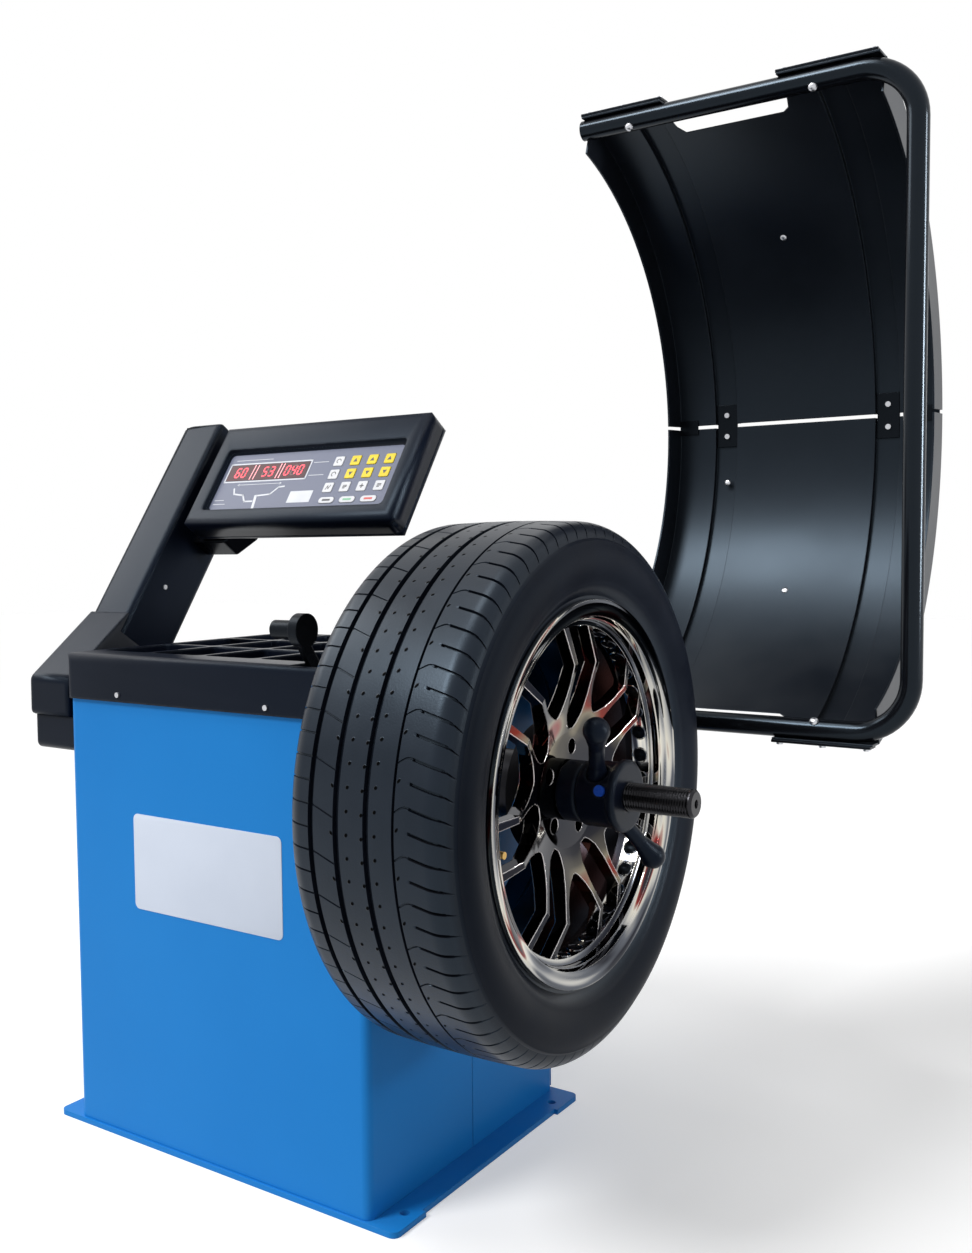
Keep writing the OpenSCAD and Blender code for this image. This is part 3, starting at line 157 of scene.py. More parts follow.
def group(name, inputs, outputs):
    """An empty node group with these sockets; gives its tree, its inputs and its output node."""
    tree = bpy.data.node_groups.new(name, "ShaderNodeTree")
    for way, sockets in (("INPUT", inputs), ("OUTPUT", outputs)):
        for label, kind in sockets.items():
            tree.interface.new_socket(label, in_out=way, socket_type="NodeSocket" + kind)
    return tree, tree.nodes.new("NodeGroupInput").outputs, tree.nodes.new("NodeGroupOutput")


# %% [markdown]
# ## Effects that several finishes share
# Paint and plastic are never one flat tone: the coat pools and thins by a few percent, and a fine
# orange peel or moulded grain breaks the reflection. One group gives both, as a colour, a roughness
# and a height. A second group finds edges by comparing the true normal with a rounded one; the paler
# tone laid on them is partly rubbed wear and partly a painted highlight, where a rounded edge catches
# the light. A third settles dust on faces that look up, and a fourth draws tool marks, a noise
# stretched along one way.

# %% Shared groups
COLOUR, NUMBER, VECTOR = "Color", "Float", "Vector"

tree, i, o = group(
    "mottled_coat",
    {"Vector": VECTOR, "Tone": COLOUR, "Second Tone": COLOUR, "Patch Scale": NUMBER, "Grain Scale": NUMBER,
     "Roughness": NUMBER, "Spread": NUMBER},
    {"Colour": COLOUR, "Roughness": NUMBER, "Height": NUMBER})
patch = noise(tree, i["Vector"], i["Patch Scale"], Detail=4.0)
wander = times(tree, calc(tree, "SUBTRACT", patch, 0.5), i["Spread"])
fill(tree, o, Colour=blend(tree, ramp(tree, patch, 0.3, 0.7), i["Tone"], i["Second Tone"]),
     Roughness=calc(tree, "ADD", i["Roughness"], wander),
     Height=noise(tree, i["Vector"], i["Grain Scale"], Detail=2.0))

# Edge mask: the paler tone laid on it is partly rubbed wear and partly painted highlight.
tree, i, o = group("rubbed_and_highlit_edges", {"Vector": VECTOR, "Radius": NUMBER, "Break Scale": NUMBER},
                   {"Mask": NUMBER, "Edge": NUMBER, "Normal": VECTOR})
rounded = put(tree, "Bevel", {"Radius": i["Radius"]}, samples=4).outputs["Normal"]
facing = vector(tree, "DOT_PRODUCT", {0: rounded, 1: put(tree, "NewGeometry").outputs["Normal"]})["Value"]
broken = noise(tree, i["Vector"], i["Break Scale"], Detail=3.0)
found = ramp(tree, facing, 0.97, 0.75)
fill(tree, o, Edge=found, Mask=times(tree, found, ramp(tree, broken, 0.35, 0.6)), Normal=rounded)

tree, i, o = group("settled_dust", {"Vector": VECTOR, "Amount": NUMBER}, {"Mask": NUMBER})
up = put(tree, "SeparateXYZ", {0: put(tree, "NewGeometry").outputs["Normal"]}).outputs["Z"]
cloud = noise(tree, i["Vector"], 14.0, Detail=6.0)
lying = times(tree, ramp(tree, up, 0.3, 1.0), ramp(tree, cloud, 0.35, 0.75))
fill(tree, o, Mask=times(tree, lying, i["Amount"]))

tree, i, o = group("tool_marks", {"Vector": VECTOR, "Stretch": VECTOR, "Scale": NUMBER}, {"Mask": NUMBER})
stretched = vector(tree, "MULTIPLY", {0: i["Vector"], 1: i["Stretch"]})[0]
fill(tree, o, Mask=noise(tree, stretched, i["Scale"], Detail=5.0))
print("groups", len(bpy.data.node_groups))

# %% [markdown]
# ## Finishes
# Painted and moulded surfaces share one recipe with different values: a mottled tone, paler edges
# that are partly rubbed wear and partly painted highlight, and a little dust, then a fine bump. Metals
# share another: tool marks change the roughness and the tone. Whatever is the same all over is written
# on the shader's own socket.

# %% Recipes
DUST_TONE = (0.34, 0.33, 0.31)
PEEL_DEPTH, MARK_DEPTH, EDGE_BREAKS = 0.0004, 0.0003, 60.0


def material(name):
    """A new node material: gives it, its tree, its Principled node and its Object coordinates."""
    made = bpy.data.materials.new(name)
    made.use_nodes = True
    tree = made.node_tree
    return made, tree, tree.nodes["Principled BSDF"], put(tree, "TexCoord").outputs["Object"]


def use(tree, name, **inputs):
    """One placed group, with its values or links; gives its outputs."""
    node = tree.nodes.new("ShaderNodeGroup")
    node.node_tree = bpy.data.node_groups[name]
    return fill(tree, node, **inputs)


def bumped(tree, shader, height, strength, depth, normal=None):
    """Feeds a height, on a rounded normal if one is given, to the shader's normal through a Bump node."""
    bump = put(tree, "Bump", {"Strength": strength, "Distance": depth, "Height": height})
    if normal is not None:
        feed(tree, bump.inputs["Normal"], normal)
    feed(tree, shader.inputs["Normal"], bump.outputs[0])


def coated(name, tone, second, rough, peel=0.15, grain=900.0, patch=5.0, shine=0.5, edge=None, wear_and_highlight=0.3,
           dust=0.0, radius=0.002, spread=0.08, tint=(1.0, 1.0, 1.0)):
    """Paint or plastic: mottled tone, paler edges of colour edge (partly rubbed wear, partly painted
    highlight), settled dust and a fine peel.
    """
    made, tree, shader, place = material(name)
    skin = use(tree, "mottled_coat", Vector=place, Tone=tone, Second_Tone=second, Patch_Scale=patch,
               Grain_Scale=grain, Roughness=rough, Spread=spread)
    colour, normal = skin["Colour"], None
    # Paler edges: partly rubbed wear, partly painted highlight on rounded edges.
    if edge is not None:
        worn_and_lit_edges = use(tree, "rubbed_and_highlit_edges", Vector=place, Radius=radius, Break_Scale=EDGE_BREAKS)
        normal = worn_and_lit_edges["Normal"]
        colour = blend(tree, times(tree, worn_and_lit_edges["Mask"], wear_and_highlight), colour, edge)
    if dust:
        colour = blend(tree, use(tree, "settled_dust", Vector=place, Amount=dust)["Mask"], colour, DUST_TONE)
    fill(tree, shader, Base_Color=colour, Roughness=skin["Roughness"], Specular_IOR_Level=shine,
         Specular_Tint=tint)
    bumped(tree, shader, skin["Height"], peel, PEEL_DEPTH, normal)
    return made


def metal(name, tone, second, rough, spread=0.15, stretch=(1.0, 1.0, 1.0), scale=300.0, mark=0.1):
    """Bare metal: tool marks stretched along one way shift the tone, the roughness and the bump."""
    made, tree, shader, place = material(name)
    marks = use(tree, "tool_marks", Vector=place, Stretch=stretch, Scale=scale)["Mask"]
    worn = calc(tree, "ADD", times(tree, marks, spread), rough - spread / 2)
    fill(tree, shader, Base_Color=blend(tree, marks, tone, second), Roughness=worn, Metallic=1.0)
    bumped(tree, shader, marks, mark, MARK_DEPTH)
    return made


# %% [markdown]
# ## Values of the finishes
# Each row gives two tones, a roughness and what else differs from the recipe. Blacks take a cool
# tint on their reflections.

# %% Coated and metal finishes
COOL = (0.60, 0.80, 1.0)
# The edge tones below are paler than their base: partly rubbed wear, partly painted highlight where rounded
# edges catch the light.
PALE_EDGE = dict(edge=(0.07, 0.072, 0.085), tint=COOL)
KEY = dict(peel=0.08, grain=2200.0, patch=60.0, shine=0.3, radius=0.001)
COATS = {
    "blue_paint": ((0.012, 0.212, 0.60), (0.010, 0.195, 0.565), 0.38, dict(
        peel=0.08, patch=3.0, shine=0.11, edge=(0.06, 0.31, 0.70), dust=0.03)),
    "black_plastic": ((0.0022, 0.0036, 0.0090), (0.0036, 0.0054, 0.0120), 0.31, dict(
        peel=0.14, grain=1500.0, shine=0.12, edge=(0.10, 0.115, 0.140), wear_and_highlight=0.4, dust=0.02, radius=0.006,
        tint=COOL)),
    "black_paint": ((0.0030, 0.0033, 0.0046), (0.0048, 0.0052, 0.0070), 0.26, dict(
        peel=0.08, shine=0.12, **PALE_EDGE)),
    "tube_gloss": ((0.0030, 0.0033, 0.0046), (0.0046, 0.0050, 0.0066), 0.16, dict(
        peel=0.05, shine=0.24, spread=0.04, **PALE_EDGE)),
    "hood_satin": ((0.0034, 0.0042, 0.0066), (0.0056, 0.0068, 0.0100), 0.33, dict(
        peel=0.16, grain=700.0, patch=7.0, shine=0.27, edge=(0.07, 0.078, 0.09), dust=0.02, spread=0.14,
        tint=COOL)),
    "panel_film": ((0.098, 0.112, 0.172), (0.106, 0.122, 0.186), 0.42, dict(
        peel=0.1, grain=2600.0, patch=9.0, shine=0.35)),
    "window_red": ((0.040, 0.0025, 0.0055), (0.052, 0.0032, 0.0065), 0.22, dict(peel=0.03, shine=0.15)),
    "key_yellow": ((0.74, 0.56, 0.006), (0.68, 0.51, 0.005), 0.4, dict(edge=(0.9, 0.8, 0.3), **KEY)),
    "key_white": ((0.62, 0.63, 0.65), (0.56, 0.57, 0.60), 0.4, dict(edge=(0.78, 0.78, 0.80), **KEY)),
    "button_blue": ((0.015, 0.09, 0.56), (0.012, 0.075, 0.48), 0.28, dict(peel=0.05, patch=50.0)),
    "board_green": ((0.012, 0.09, 0.04), (0.018, 0.12, 0.05), 0.4, dict(grain=1200.0, patch=40.0)),
    "belt_rubber": ((0.012, 0.012, 0.012), (0.02, 0.02, 0.02), 0.6, dict(peel=0.3)),
}
METALS = {
    "zinc_steel": ((0.62, 0.63, 0.66), (0.50, 0.51, 0.54), 0.32, dict(scale=500.0)),
    "cast_metal": ((0.36, 0.37, 0.39), (0.27, 0.28, 0.30), 0.5, dict(stretch=(6.0, 1.0, 1.0), scale=120.0)),
    "dark_steel": ((0.030, 0.030, 0.034), (0.018, 0.018, 0.021), 0.33, dict(
        stretch=(8.0, 1.0, 1.0), scale=90.0)),
    "thread_steel": ((0.034, 0.034, 0.037), (0.024, 0.024, 0.027), 0.26, dict(
        spread=0.08, scale=60.0, mark=0.02)),
    "valve_brass": ((0.62, 0.40, 0.12), (0.5, 0.31, 0.09), 0.28, dict(scale=700.0)),
}
finish = {name: coated(name, *values, **rest) for name, (*values, rest) in COATS.items()}
finish.update({name: metal(name, *values, **rest) for name, (*values, rest) in METALS.items()})
print("finishes", len(finish))

# %% [markdown]
# ## Dark chrome
# The rim is chromed. Chrome has hardly a colour of its own: a real one shows what stands round it,
# mostly dark with slips of red and gold, and its edges flash. The studio here is white, so these
# reflections are painted into the tone: it drifts between smoke, gold and red in patches, and the
# shared edge mask paints a bright highlight on every corner. The polished lip takes the same net with
# paler stops, stretched round the spindle, and the barrel very dark stops, painted shade.

# %% Rim chrome
AXIS_Y, AXIS_Z = -0.113, 0.592
PATCHES, RINGS = 8.0, 90.0


def chromed(name, stops, edge, edge_radius, rough, along=None):
    """Polished metal with painted reflections: its tone drifts along the stops and edge paints a highlight on
    its corners; along stretches its patches round the spindle.
    """
    made, tree, shader, place = material(name)
    where = vector(tree, "MULTIPLY", {0: place, 1: (PATCHES, PATCHES, PATCHES)})[0]
    if along:
        flat = vector(tree, "MULTIPLY_ADD", {0: place, 1: (0, 1, 1), 2: (0, -AXIS_Y, -AXIS_Z)})[0]
        reach = vector(tree, "LENGTH", {0: flat})["Value"]
        unit = vector(tree, "NORMALIZE", {0: flat})[0]
        swept = vector(tree, "SCALE", {0: unit, "Scale": along})[0]
        deep = calc(tree, "SUBTRACT", reach, put(tree, "SeparateXYZ", {0: place}).outputs["X"])
        step = put(tree, "CombineXYZ", {"X": times(tree, deep, RINGS)}).outputs[0]
        where = vector(tree, "ADD", {0: swept, 1: step})[0]
    drift = noise(tree, where, 1.0, Detail=1.0, Distortion=0.3)
    scale = put(tree, "ValToRGB", {"Fac": drift})
    marks = scale.color_ramp.elements
    for at, tone in stops:
        marks.new(at).color = (*tone, 1)
    marks.remove(marks[0])
    marks.remove(marks[-1])
    # Painted highlight: the edge tone brightens every corner.
    worn_and_lit_edges = use(tree, "rubbed_and_highlit_edges", Vector=place, Radius=edge_radius, Break_Scale=25.0)
    haze = use(tree, "tool_marks", Vector=place, Stretch=(1, 1, 1), Scale=160.0)["Mask"]
    fill(tree, shader, Base_Color=blend(tree, worn_and_lit_edges["Edge"], scale.outputs["Color"], edge),
         Roughness=calc(tree, "ADD", times(tree, haze, 0.05), rough), Metallic=1.0)
    bumped(tree, shader, haze, 0.02, MARK_DEPTH, worn_and_lit_edges["Normal"])
    return made


# Stops of painted reflections for rim and lip, and of painted shade for the barrel; the edge tones paint
# highlights.
RIM_REFLECTION_STOPS = ((0.34, (0.010, 0.012, 0.020)), (0.48, (0.022, 0.022, 0.027)), (0.56, (0.085, 0.078, 0.066)),
             (0.60, (0.24, 0.21, 0.15)), (0.64, (0.22, 0.030, 0.020)), (0.70, (0.030, 0.028, 0.030)))
BARREL_SHADE_STOPS = ((0.35, (0.006, 0.007, 0.010)), (0.50, (0.012, 0.012, 0.015)), (0.64, (0.024, 0.010, 0.009)))
LIP_REFLECTION_STOPS = ((0.34, (0.016, 0.018, 0.026)), (0.44, (0.11, 0.12, 0.14)), (0.52, (0.50, 0.49, 0.46)),
             (0.60, (0.66, 0.63, 0.54)), (0.645, (0.24, 0.03, 0.026)), (0.70, (0.03, 0.03, 0.036)))
finish["rim_metal"] = chromed("rim_chrome_painted_reflections", RIM_REFLECTION_STOPS, (0.92, 0.88, 0.88), 0.0021, 0.02)
finish["rim_shade"] = chromed("barrel_chrome_painted_shade", BARREL_SHADE_STOPS, (0.06, 0.06, 0.06), 0.0015, 0.2)
finish["rim_lip"] = chromed("lip_chrome_painted_reflections", LIP_REFLECTION_STOPS, (0.92, 0.91, 0.89), 0.0011, 0.01, along=1.3)
print("finishes with chrome", len(finish))

# %% [markdown]
# ## Tyre rubber
# Worn tread shines along the ribs, while wear pits and sidewall stay dull, and the pits take a
# near-black tone, painted shade inside them. The surface carries its own map: U counts tread pitches
# round the tyre and V runs across it in metres, so the rows of small wear pits can be placed by U and V
# and stay on the ribs when the wheel turns.

# %% Rubber finish
PITCHES = 41
TREAD_R = 0.346
PIT_ROWS = ((0.022, 0.10, 2), (0.004, 0.05, 2), (-0.017, 0.30, 2), (-0.0385, 0.40, 1), (0.0515, 0.35, 1))
PIT_RIM, PIT_FLOOR = 0.0028, 0.0018
# The pit tone is painted shade inside the pits; the tyre dust is real settled dust.
PIT_SHADE_TONE, TYRE_DUST = (0.002, 0.002, 0.002), (0.24, 0.235, 0.22)
WALL_FROM, WALL_TO = 0.106, 0.114
TYRE_SHINE, WALL_DULLS, PIT_DULLS = 0.33, 0.25, 0.32

rubber, tree, shader, place = material("tyre_rubber")
skin = use(
    tree, "mottled_coat", Vector=place, Tone=(0.0030, 0.0040, 0.0080), Second_Tone=(0.0058, 0.0074, 0.0125),
    Patch_Scale=16.0, Grain_Scale=420.0, Roughness=0.34, Spread=0.2)
split = put(tree, "SeparateXYZ", {0: put(tree, "UVMap", uv_map="tread").outputs["UV"]}).outputs
pits = None
for row_v, shift, repeats in PIT_ROWS:
    count = calc(tree, "ADD", times(tree, split["X"], repeats), shift)
    part = calc(tree, "SUBTRACT", calc(tree, "FRACT", count), 0.5)
    along = times(tree, part, 2 * math.pi * TREAD_R / PITCHES / repeats)
    off = calc(tree, "SUBTRACT", split["Y"], row_v)
    squares = calc(tree, "ADD", times(tree, along, along), times(tree, off, off))
    pit = ramp(tree, calc(tree, "SQRT", squares), PIT_RIM, PIT_FLOOR)
    pits = pit if pits is None else calc(tree, "MAXIMUM", pits, pit)
colour = blend(tree, use(tree, "settled_dust", Vector=place, Amount=0.04)["Mask"], skin["Colour"], TYRE_DUST)
on_wall = ramp(tree, calc(tree, "ABSOLUTE", split["Y"]), WALL_FROM, WALL_TO)
dull = calc(tree, "MAXIMUM", times(tree, on_wall, WALL_DULLS), times(tree, pits, PIT_DULLS))
fill(tree, shader, Base_Color=blend(tree, pits, colour, PIT_SHADE_TONE),
     Roughness=calc(tree, "ADD", skin["Roughness"], times(tree, on_wall, 0.12)),
     Specular_IOR_Level=calc(tree, "SUBTRACT", TYRE_SHINE, dull), Specular_Tint=COOL)
bumped(tree, shader, calc(tree, "SUBTRACT", times(tree, skin["Height"], 0.2), pits), 0.4, 0.0012)
finish["tyre_rubber"] = rubber
print("pit rows", len(PIT_ROWS))

# %% [markdown]
# ## From arrays to pieces
# A piece starts as an array of points on a grid, rows by columns. Where a grid closes on itself its
# last row meets its first. The faces come from the same index arithmetic, so no loop walks over
# the vertices. Edges sharper than a given angle stay crisp, the rest are shaded smooth.

# %% Grid helpers
WHEEL_X = 0.447
WELD = 1e-6


def grid_faces(rows, columns, close_rows=False, close_columns=False):
    """Four corners of each cell of a grid, as indices row * columns + column."""
    r = np.arange(rows if close_rows else rows - 1)[:, None]
    c = np.arange(columns if close_columns else columns - 1)[None, :]
    here, beyond = r * columns, (r + 1) % rows * columns
    c1 = (c + 1) % columns
    return np.stack([here + c, here + c1, beyond + c1, beyond + c], -1).reshape(-1, 4)


def each(count, faces, size):
    """The same faces repeated for each of count equal blocks of size points."""
    return (np.arange(count)[:, None, None] * size + faces[None]).reshape(-1, 4)


def shaded(mesh, made, crisp):
    """Gives a mesh one finish, and smooth shading but for edges sharper than crisp degrees."""
    mesh.materials.clear()
    mesh.materials.append(made)
    mesh.shade_smooth()
    mesh.set_sharp_from_angle(angle=math.radians(crisp))


def piece(name, points, faces, made, body, crisp=35, merge=False, outward=True):
    """A mesh object from points and faces, with its finish and the body it rides on."""
    mesh = bpy.data.meshes.new(name)
    corners = faces.tolist() if isinstance(faces, np.ndarray) else faces
    mesh.from_pydata(np.asarray(points, float).reshape(-1, 3).tolist(), [], corners)
    shell = bmesh.new()
    shell.from_mesh(mesh)
    if merge:
        bmesh.ops.remove_doubles(shell, verts=shell.verts, dist=WELD)
    if outward:
        bmesh.ops.recalc_face_normals(shell, faces=shell.faces)
    shell.to_mesh(mesh)
    shell.free()
    shaded(mesh, made, crisp)
    thing = placed(name, mesh)
    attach(thing, body)
    return thing


def about_spindle(x, radius, angle):
    """Points at x along the spindle, at a radius and an angle that runs from the back over the top."""
    x, radius, angle = np.broadcast_arrays(x, radius, angle)
    return np.stack([x, AXIS_Y + radius * np.cos(angle), AXIS_Z + radius * np.sin(angle)], -1)


def full_turn(count):
    """Evenly spaced angles round a circle, without the repeated last one."""
    return np.linspace(0, 2 * math.pi, count, endpoint=False)


# %% [markdown]
# ## Tyre
# A tyre is a moulded ring: smooth sidewalls, a crown with four grooves round it, and slots across
# the shoulders. The surface is a profile of offset and radius carried round the spindle. To draw
# slots without millions of faces, the columns are not evenly spaced: each pitch has close columns
# at the slot walls and few between. The columns also lean, so that each slot follows its real path.

# %% Tyre section
GROOVES = ((0.0465, 0.0035, 0.0045), (0.010, 0.0078, 0.0058), (-0.032, 0.0082, 0.0058),
           (-0.069, 0.0075, 0.0058))
GROOVE_SLOPE, CROWN_DROP = 0.0009, 0.0018
FLAT, SHOULDER = 0.084, 0.027
BEAD_X, BEAD_R, BULGE = 0.1028, 0.2505, 0.0122


def crown(across):
    """Radius of the tread: a shallow parabola over the flat part, then a quarter circle down the shoulder."""
    over = np.clip(np.abs(across) - FLAT, 0, SHOULDER)
    parabola = TREAD_R - CROWN_DROP * np.clip(np.abs(across) / FLAT, 0, 1) ** 2
    return parabola - SHOULDER + np.sqrt(SHOULDER ** 2 - over ** 2)


def ring_grooves(across):
    """Depth of the grooves round the tyre: each is a flat-bottomed trough with sloping walls."""
    depth = np.zeros_like(across)
    for middle, width, deep in GROOVES:
        inside = width / 2 - np.abs(across - middle)
        depth = np.maximum(depth, deep * np.clip(inside / GROOVE_SLOPE, 0, 1))
    return depth


def ridge(radius, middle, height, width):
    """A bell-shaped ridge round the sidewall at a radius."""
    return height * np.exp(-((radius - middle) / width) ** 2)


groove_rows = [middle + side * (width / 2 - inset) for middle, width, _ in GROOVES for side in (-1, 1)
               for inset in (-0.0005, 0.0, GROOVE_SLOPE)]
shoulder_rows = FLAT + SHOULDER * np.sin(np.radians(np.linspace(0, 78, 13)))
rib_rows = np.array([
    -0.080, -0.074, -0.0635, -0.050, -0.038, -0.020, -0.010, 0.0, 0.018, 0.028, 0.038, 0.051, 0.0545, 0.058,
    0.0615, 0.0640, 0.0655, 0.0668, 0.0685, 0.071, 0.077])
across = np.unique(np.round(np.concatenate([groove_rows, shoulder_rows, -shoulder_rows, rib_rows]), 6))[::-1]
tread = np.stack([across, crown(across) - ring_grooves(across)], -1)

t = np.linspace(0, 1, 26)[1:]
top_x, top_r = np.abs(tread[0])
wall_r = top_r + (BEAD_R - top_r) * t
wall_x = top_x + (BEAD_X - top_x) * t ** 2 + BULGE * np.sin(math.pi * t ** 0.82)
wall_x = wall_x + ridge(wall_r, 0.3195, 0.0012, 0.0016) + ridge(wall_r, 0.263, 0.0018, 0.004)
wall = np.stack([wall_x, wall_r], -1)
bead = np.array([
    [0.1027, 0.2490], [0.1025, 0.2290], [0.088, 0.2292], [0.106, 0.262], [0.108, 0.300], [0.088, 0.326]])
flip = np.array([-1.0, 1.0])
section = np.concatenate([tread, wall * flip, bead * flip, bead[::-1], wall[::-1]])
offset, radius = section[:, 0], section[:, 1]
print("tyre section", len(section), "widest", round(float(offset.max()), 4))

# %% [markdown]
# ## Slots in the tread
# Going out from the thin groove, a slot rises in a hook, runs out with a slight slant and bends down
# the shoulder. Every second slot has the hook, as a thin sipe. On the inner side plain sipes cross
# the shoulder, and one in two also crosses the rib beside it. One curve of lean serves them all.

# %% Tyre surface
SLOT_LEAN_AT = np.array([
    -0.112, -0.071, -0.064, -0.036, -0.028, 0.043, 0.049, 0.053, 0.057, 0.062, 0.070, 0.100, 0.106, 0.112])
SLOT_LEAN = np.array([
    0.0035, 0.0078, 0.0084, 0.0195, 0.021, 0.0055, 0.004, 0.0012, -0.0012, -0.0022, 0.0, 0.0075,
    0.0105, 0.0175])
FIRST_SLOT = math.radians(147.9)
PLAIN_AT, HOOKED_AT = 0.25, 0.75
SIPE, SIPE_SLOPE, SLOT_SLOPE = 0.022, 0.011, 0.012
SLOT_DEEP, HOOK_DEEP, SIPE_DEEP, CROSS_DEEP = 0.0048, 0.0016, 0.0022, 0.0018


def smooth_step(value, low, high):
    """0 below low, 1 above high, with an S-shaped rise."""
    s = np.clip((value - low) / (high - low), 0, 1)
    return s * s * (3 - 2 * s)


def cut(distance, half_width, slope):
    """1 inside a slot's half width and 0 outside, with sloping walls, all in parts of a pitch."""
    return np.clip((half_width - distance) / slope, 0, 1)


near_slot = np.array([-0.07, -0.045, -0.036, -0.024, -0.011, 0.0, 0.011, 0.024, 0.036, 0.045, 0.07])
marks = np.concatenate([[0.0, 0.12], PLAIN_AT + near_slot, [0.38, 0.5, 0.62], HOOKED_AT + near_slot, [0.88]])
turns = (np.arange(PITCHES)[:, None] + marks).ravel()
phase = np.tile(marks, PITCHES)[None, :]
plain, hooked = np.abs(phase - PLAIN_AT), np.abs(phase - HOOKED_AT)
nearest = np.minimum(plain, hooked)
outer, inner = offset[:, None], -offset[:, None]
on_tread = smooth_step(radius, 0.3235, 0.329)[:, None]

slot_width = 0.036 - 0.022 * smooth_step(outer, 0.097, 0.109)
slot = cut(nearest, slot_width, SLOT_SLOPE) * smooth_step(outer, 0.0650, 0.0672) * SLOT_DEEP
hook = cut(hooked, SIPE, SIPE_SLOPE) * smooth_step(outer, 0.0482, 0.0490) * HOOK_DEEP
sipes = cut(nearest, SIPE, SIPE_SLOPE) * smooth_step(inner, 0.0722, 0.0735) * SIPE_DEEP
cross = cut(hooked, SIPE, SIPE_SLOPE) * smooth_step(inner, 0.0355, 0.037) * (inner < 0.066) * CROSS_DEEP
depth = np.maximum.reduce([slot, hook, sipes, cross]) * on_tread

slant = (np.interp(offset, SLOT_LEAN_AT, SLOT_LEAN) / TREAD_R)[:, None]
angle = FIRST_SLOT + 2 * math.pi * (turns[None, :] - HOOKED_AT) / PITCHES + slant
points = about_spindle(WHEEL_X + outer, radius[:, None] - depth, angle)
rows, columns = angle.shape
tyre = piece("tyre_tread_and_walls", points, grid_faces(rows, columns, True, True), rubber,
             "spindle", crisp=28, outward=False)
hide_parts("tyre")
print("tyre faces", len(tyre.data.polygons))

# %% [markdown]
# ## The tyre's map
# U is the pitch count of a face's corner. On the face that closes the ring U would jump back to
# nought, so its low values are raised by a whole turn.

# %% Tyre map
loop_vertex = np.empty(len(tyre.data.loops), np.int32)
tyre.data.loops.foreach_get("vertex_index", loop_vertex)
u = turns[loop_vertex % columns].reshape(-1, 4)
u = np.where((np.ptp(u, 1)[:, None] > PITCHES / 2) & (u < PITCHES / 2), u + PITCHES, u)
chart = tyre.data.uv_layers.new(name="tread")
chart.data.foreach_set("uv", np.stack([u.ravel(), offset[loop_vertex // columns]], -1).ravel())
print("map corners", len(loop_vertex))

# %% [markdown]
# ## Rim lip and ring of holes
# The outer lip of the wheel is a stack of polished steps, and a ring of holes runs round the band
# behind it. The steps are one profile turned round the spindle, a little proud of the plain solid.
# Each hole is a small turned form of its own, wrapped onto the band: its height is taken off the
# band's radius and its sideways reach becomes an angle. A hole is only a shallow dish, and its black
# floor is painted shade that stands for its depth.

# %% Lip and holes
BAND_R, HOLES, HOLE_X, HOLE_SIDES = 0.2122, 40, WHEEL_X + 0.0725, 28
FIRST_HOLE = math.radians(4)
lip_steps = np.array([
    [0.1045, 0.2463], [0.1095, 0.2463], [0.1106, 0.2455], [0.1109, 0.2440], [0.1107, 0.2415],
    [0.1100, 0.2384], [0.1086, 0.2340], [0.1075, 0.2312], [0.1063, 0.2282], [0.1062, 0.2264],
    [0.1054, 0.2243], [0.1030, 0.2232], [0.0985, 0.2216], [0.0976, 0.2203], [0.0940, 0.2198],
    [0.0885, 0.2194], [0.0874, 0.2180], [0.0864, 0.2150], [0.0858, BAND_R], [0.0600, BAND_R]])
around = full_turn(240)
points = about_spindle(WHEEL_X + lip_steps[:, :1], lip_steps[:, 1:], around)
lip = piece("rim_lip_steps", points, grid_faces(len(lip_steps), len(around), True, True), finish["rim_lip"],
            "spindle", crisp=32)


def wrapped(profile):
    """Turned forms on the band: profile holds [reach, height], and each hole gets one grid."""
    middle = full_turn(HOLES)[:, None, None] + FIRST_HOLE
    spin = full_turn(HOLE_SIDES)[None, None, :]
    reach, height = profile[None, :, :1], profile[None, :, 1:]
    angle = middle + reach * np.sin(spin) / BAND_R
    return about_spindle(HOLE_X + reach * np.cos(spin), BAND_R - height, angle)


hole_edge = np.array([
    [0.0113, 0.0001], [0.0110, 0.0009], [0.0102, 0.0013], [0.0096, 0.0010], [0.0094, 0.0003]])
faces = each(HOLES, grid_faces(len(hole_edge), HOLE_SIDES, True, True), len(hole_edge) * HOLE_SIDES)
piece("band_hole_edges", wrapped(hole_edge), faces, finish["rim_lip"], "spindle", crisp=60)
# Painted shade: a black floor just under the band stands for the dark depth of each hole.
hole_floor = np.array([
    [0.0, 0.00005], [0.0096, 0.00005], [0.0096, 0.0004], [0.0050, 0.0003], [0.0, 0.0003]])
faces = each(HOLES, grid_faces(len(hole_floor), HOLE_SIDES, close_columns=True), len(hole_floor) * HOLE_SIDES)
piece("band_hole_floors_painted_shade", wrapped(hole_floor), faces, finish["black_paint"], "spindle",
      crisp=60, merge=True)
print("lip", len(lip.data.polygons), "holes", HOLES)

# %% [markdown]
# ## Spindle thread
# The clamping nut runs on a trapezoid thread. The shaft is a turned profile whose radius also
# depends on the angle where it is threaded: the groove's phase is the distance along the shaft in
# pitches less the turn round it, so one pitch is gained in each turn, which is what a helix is.
# Only rows of the full radius are cut, so the centre hole in the tip stays smooth.

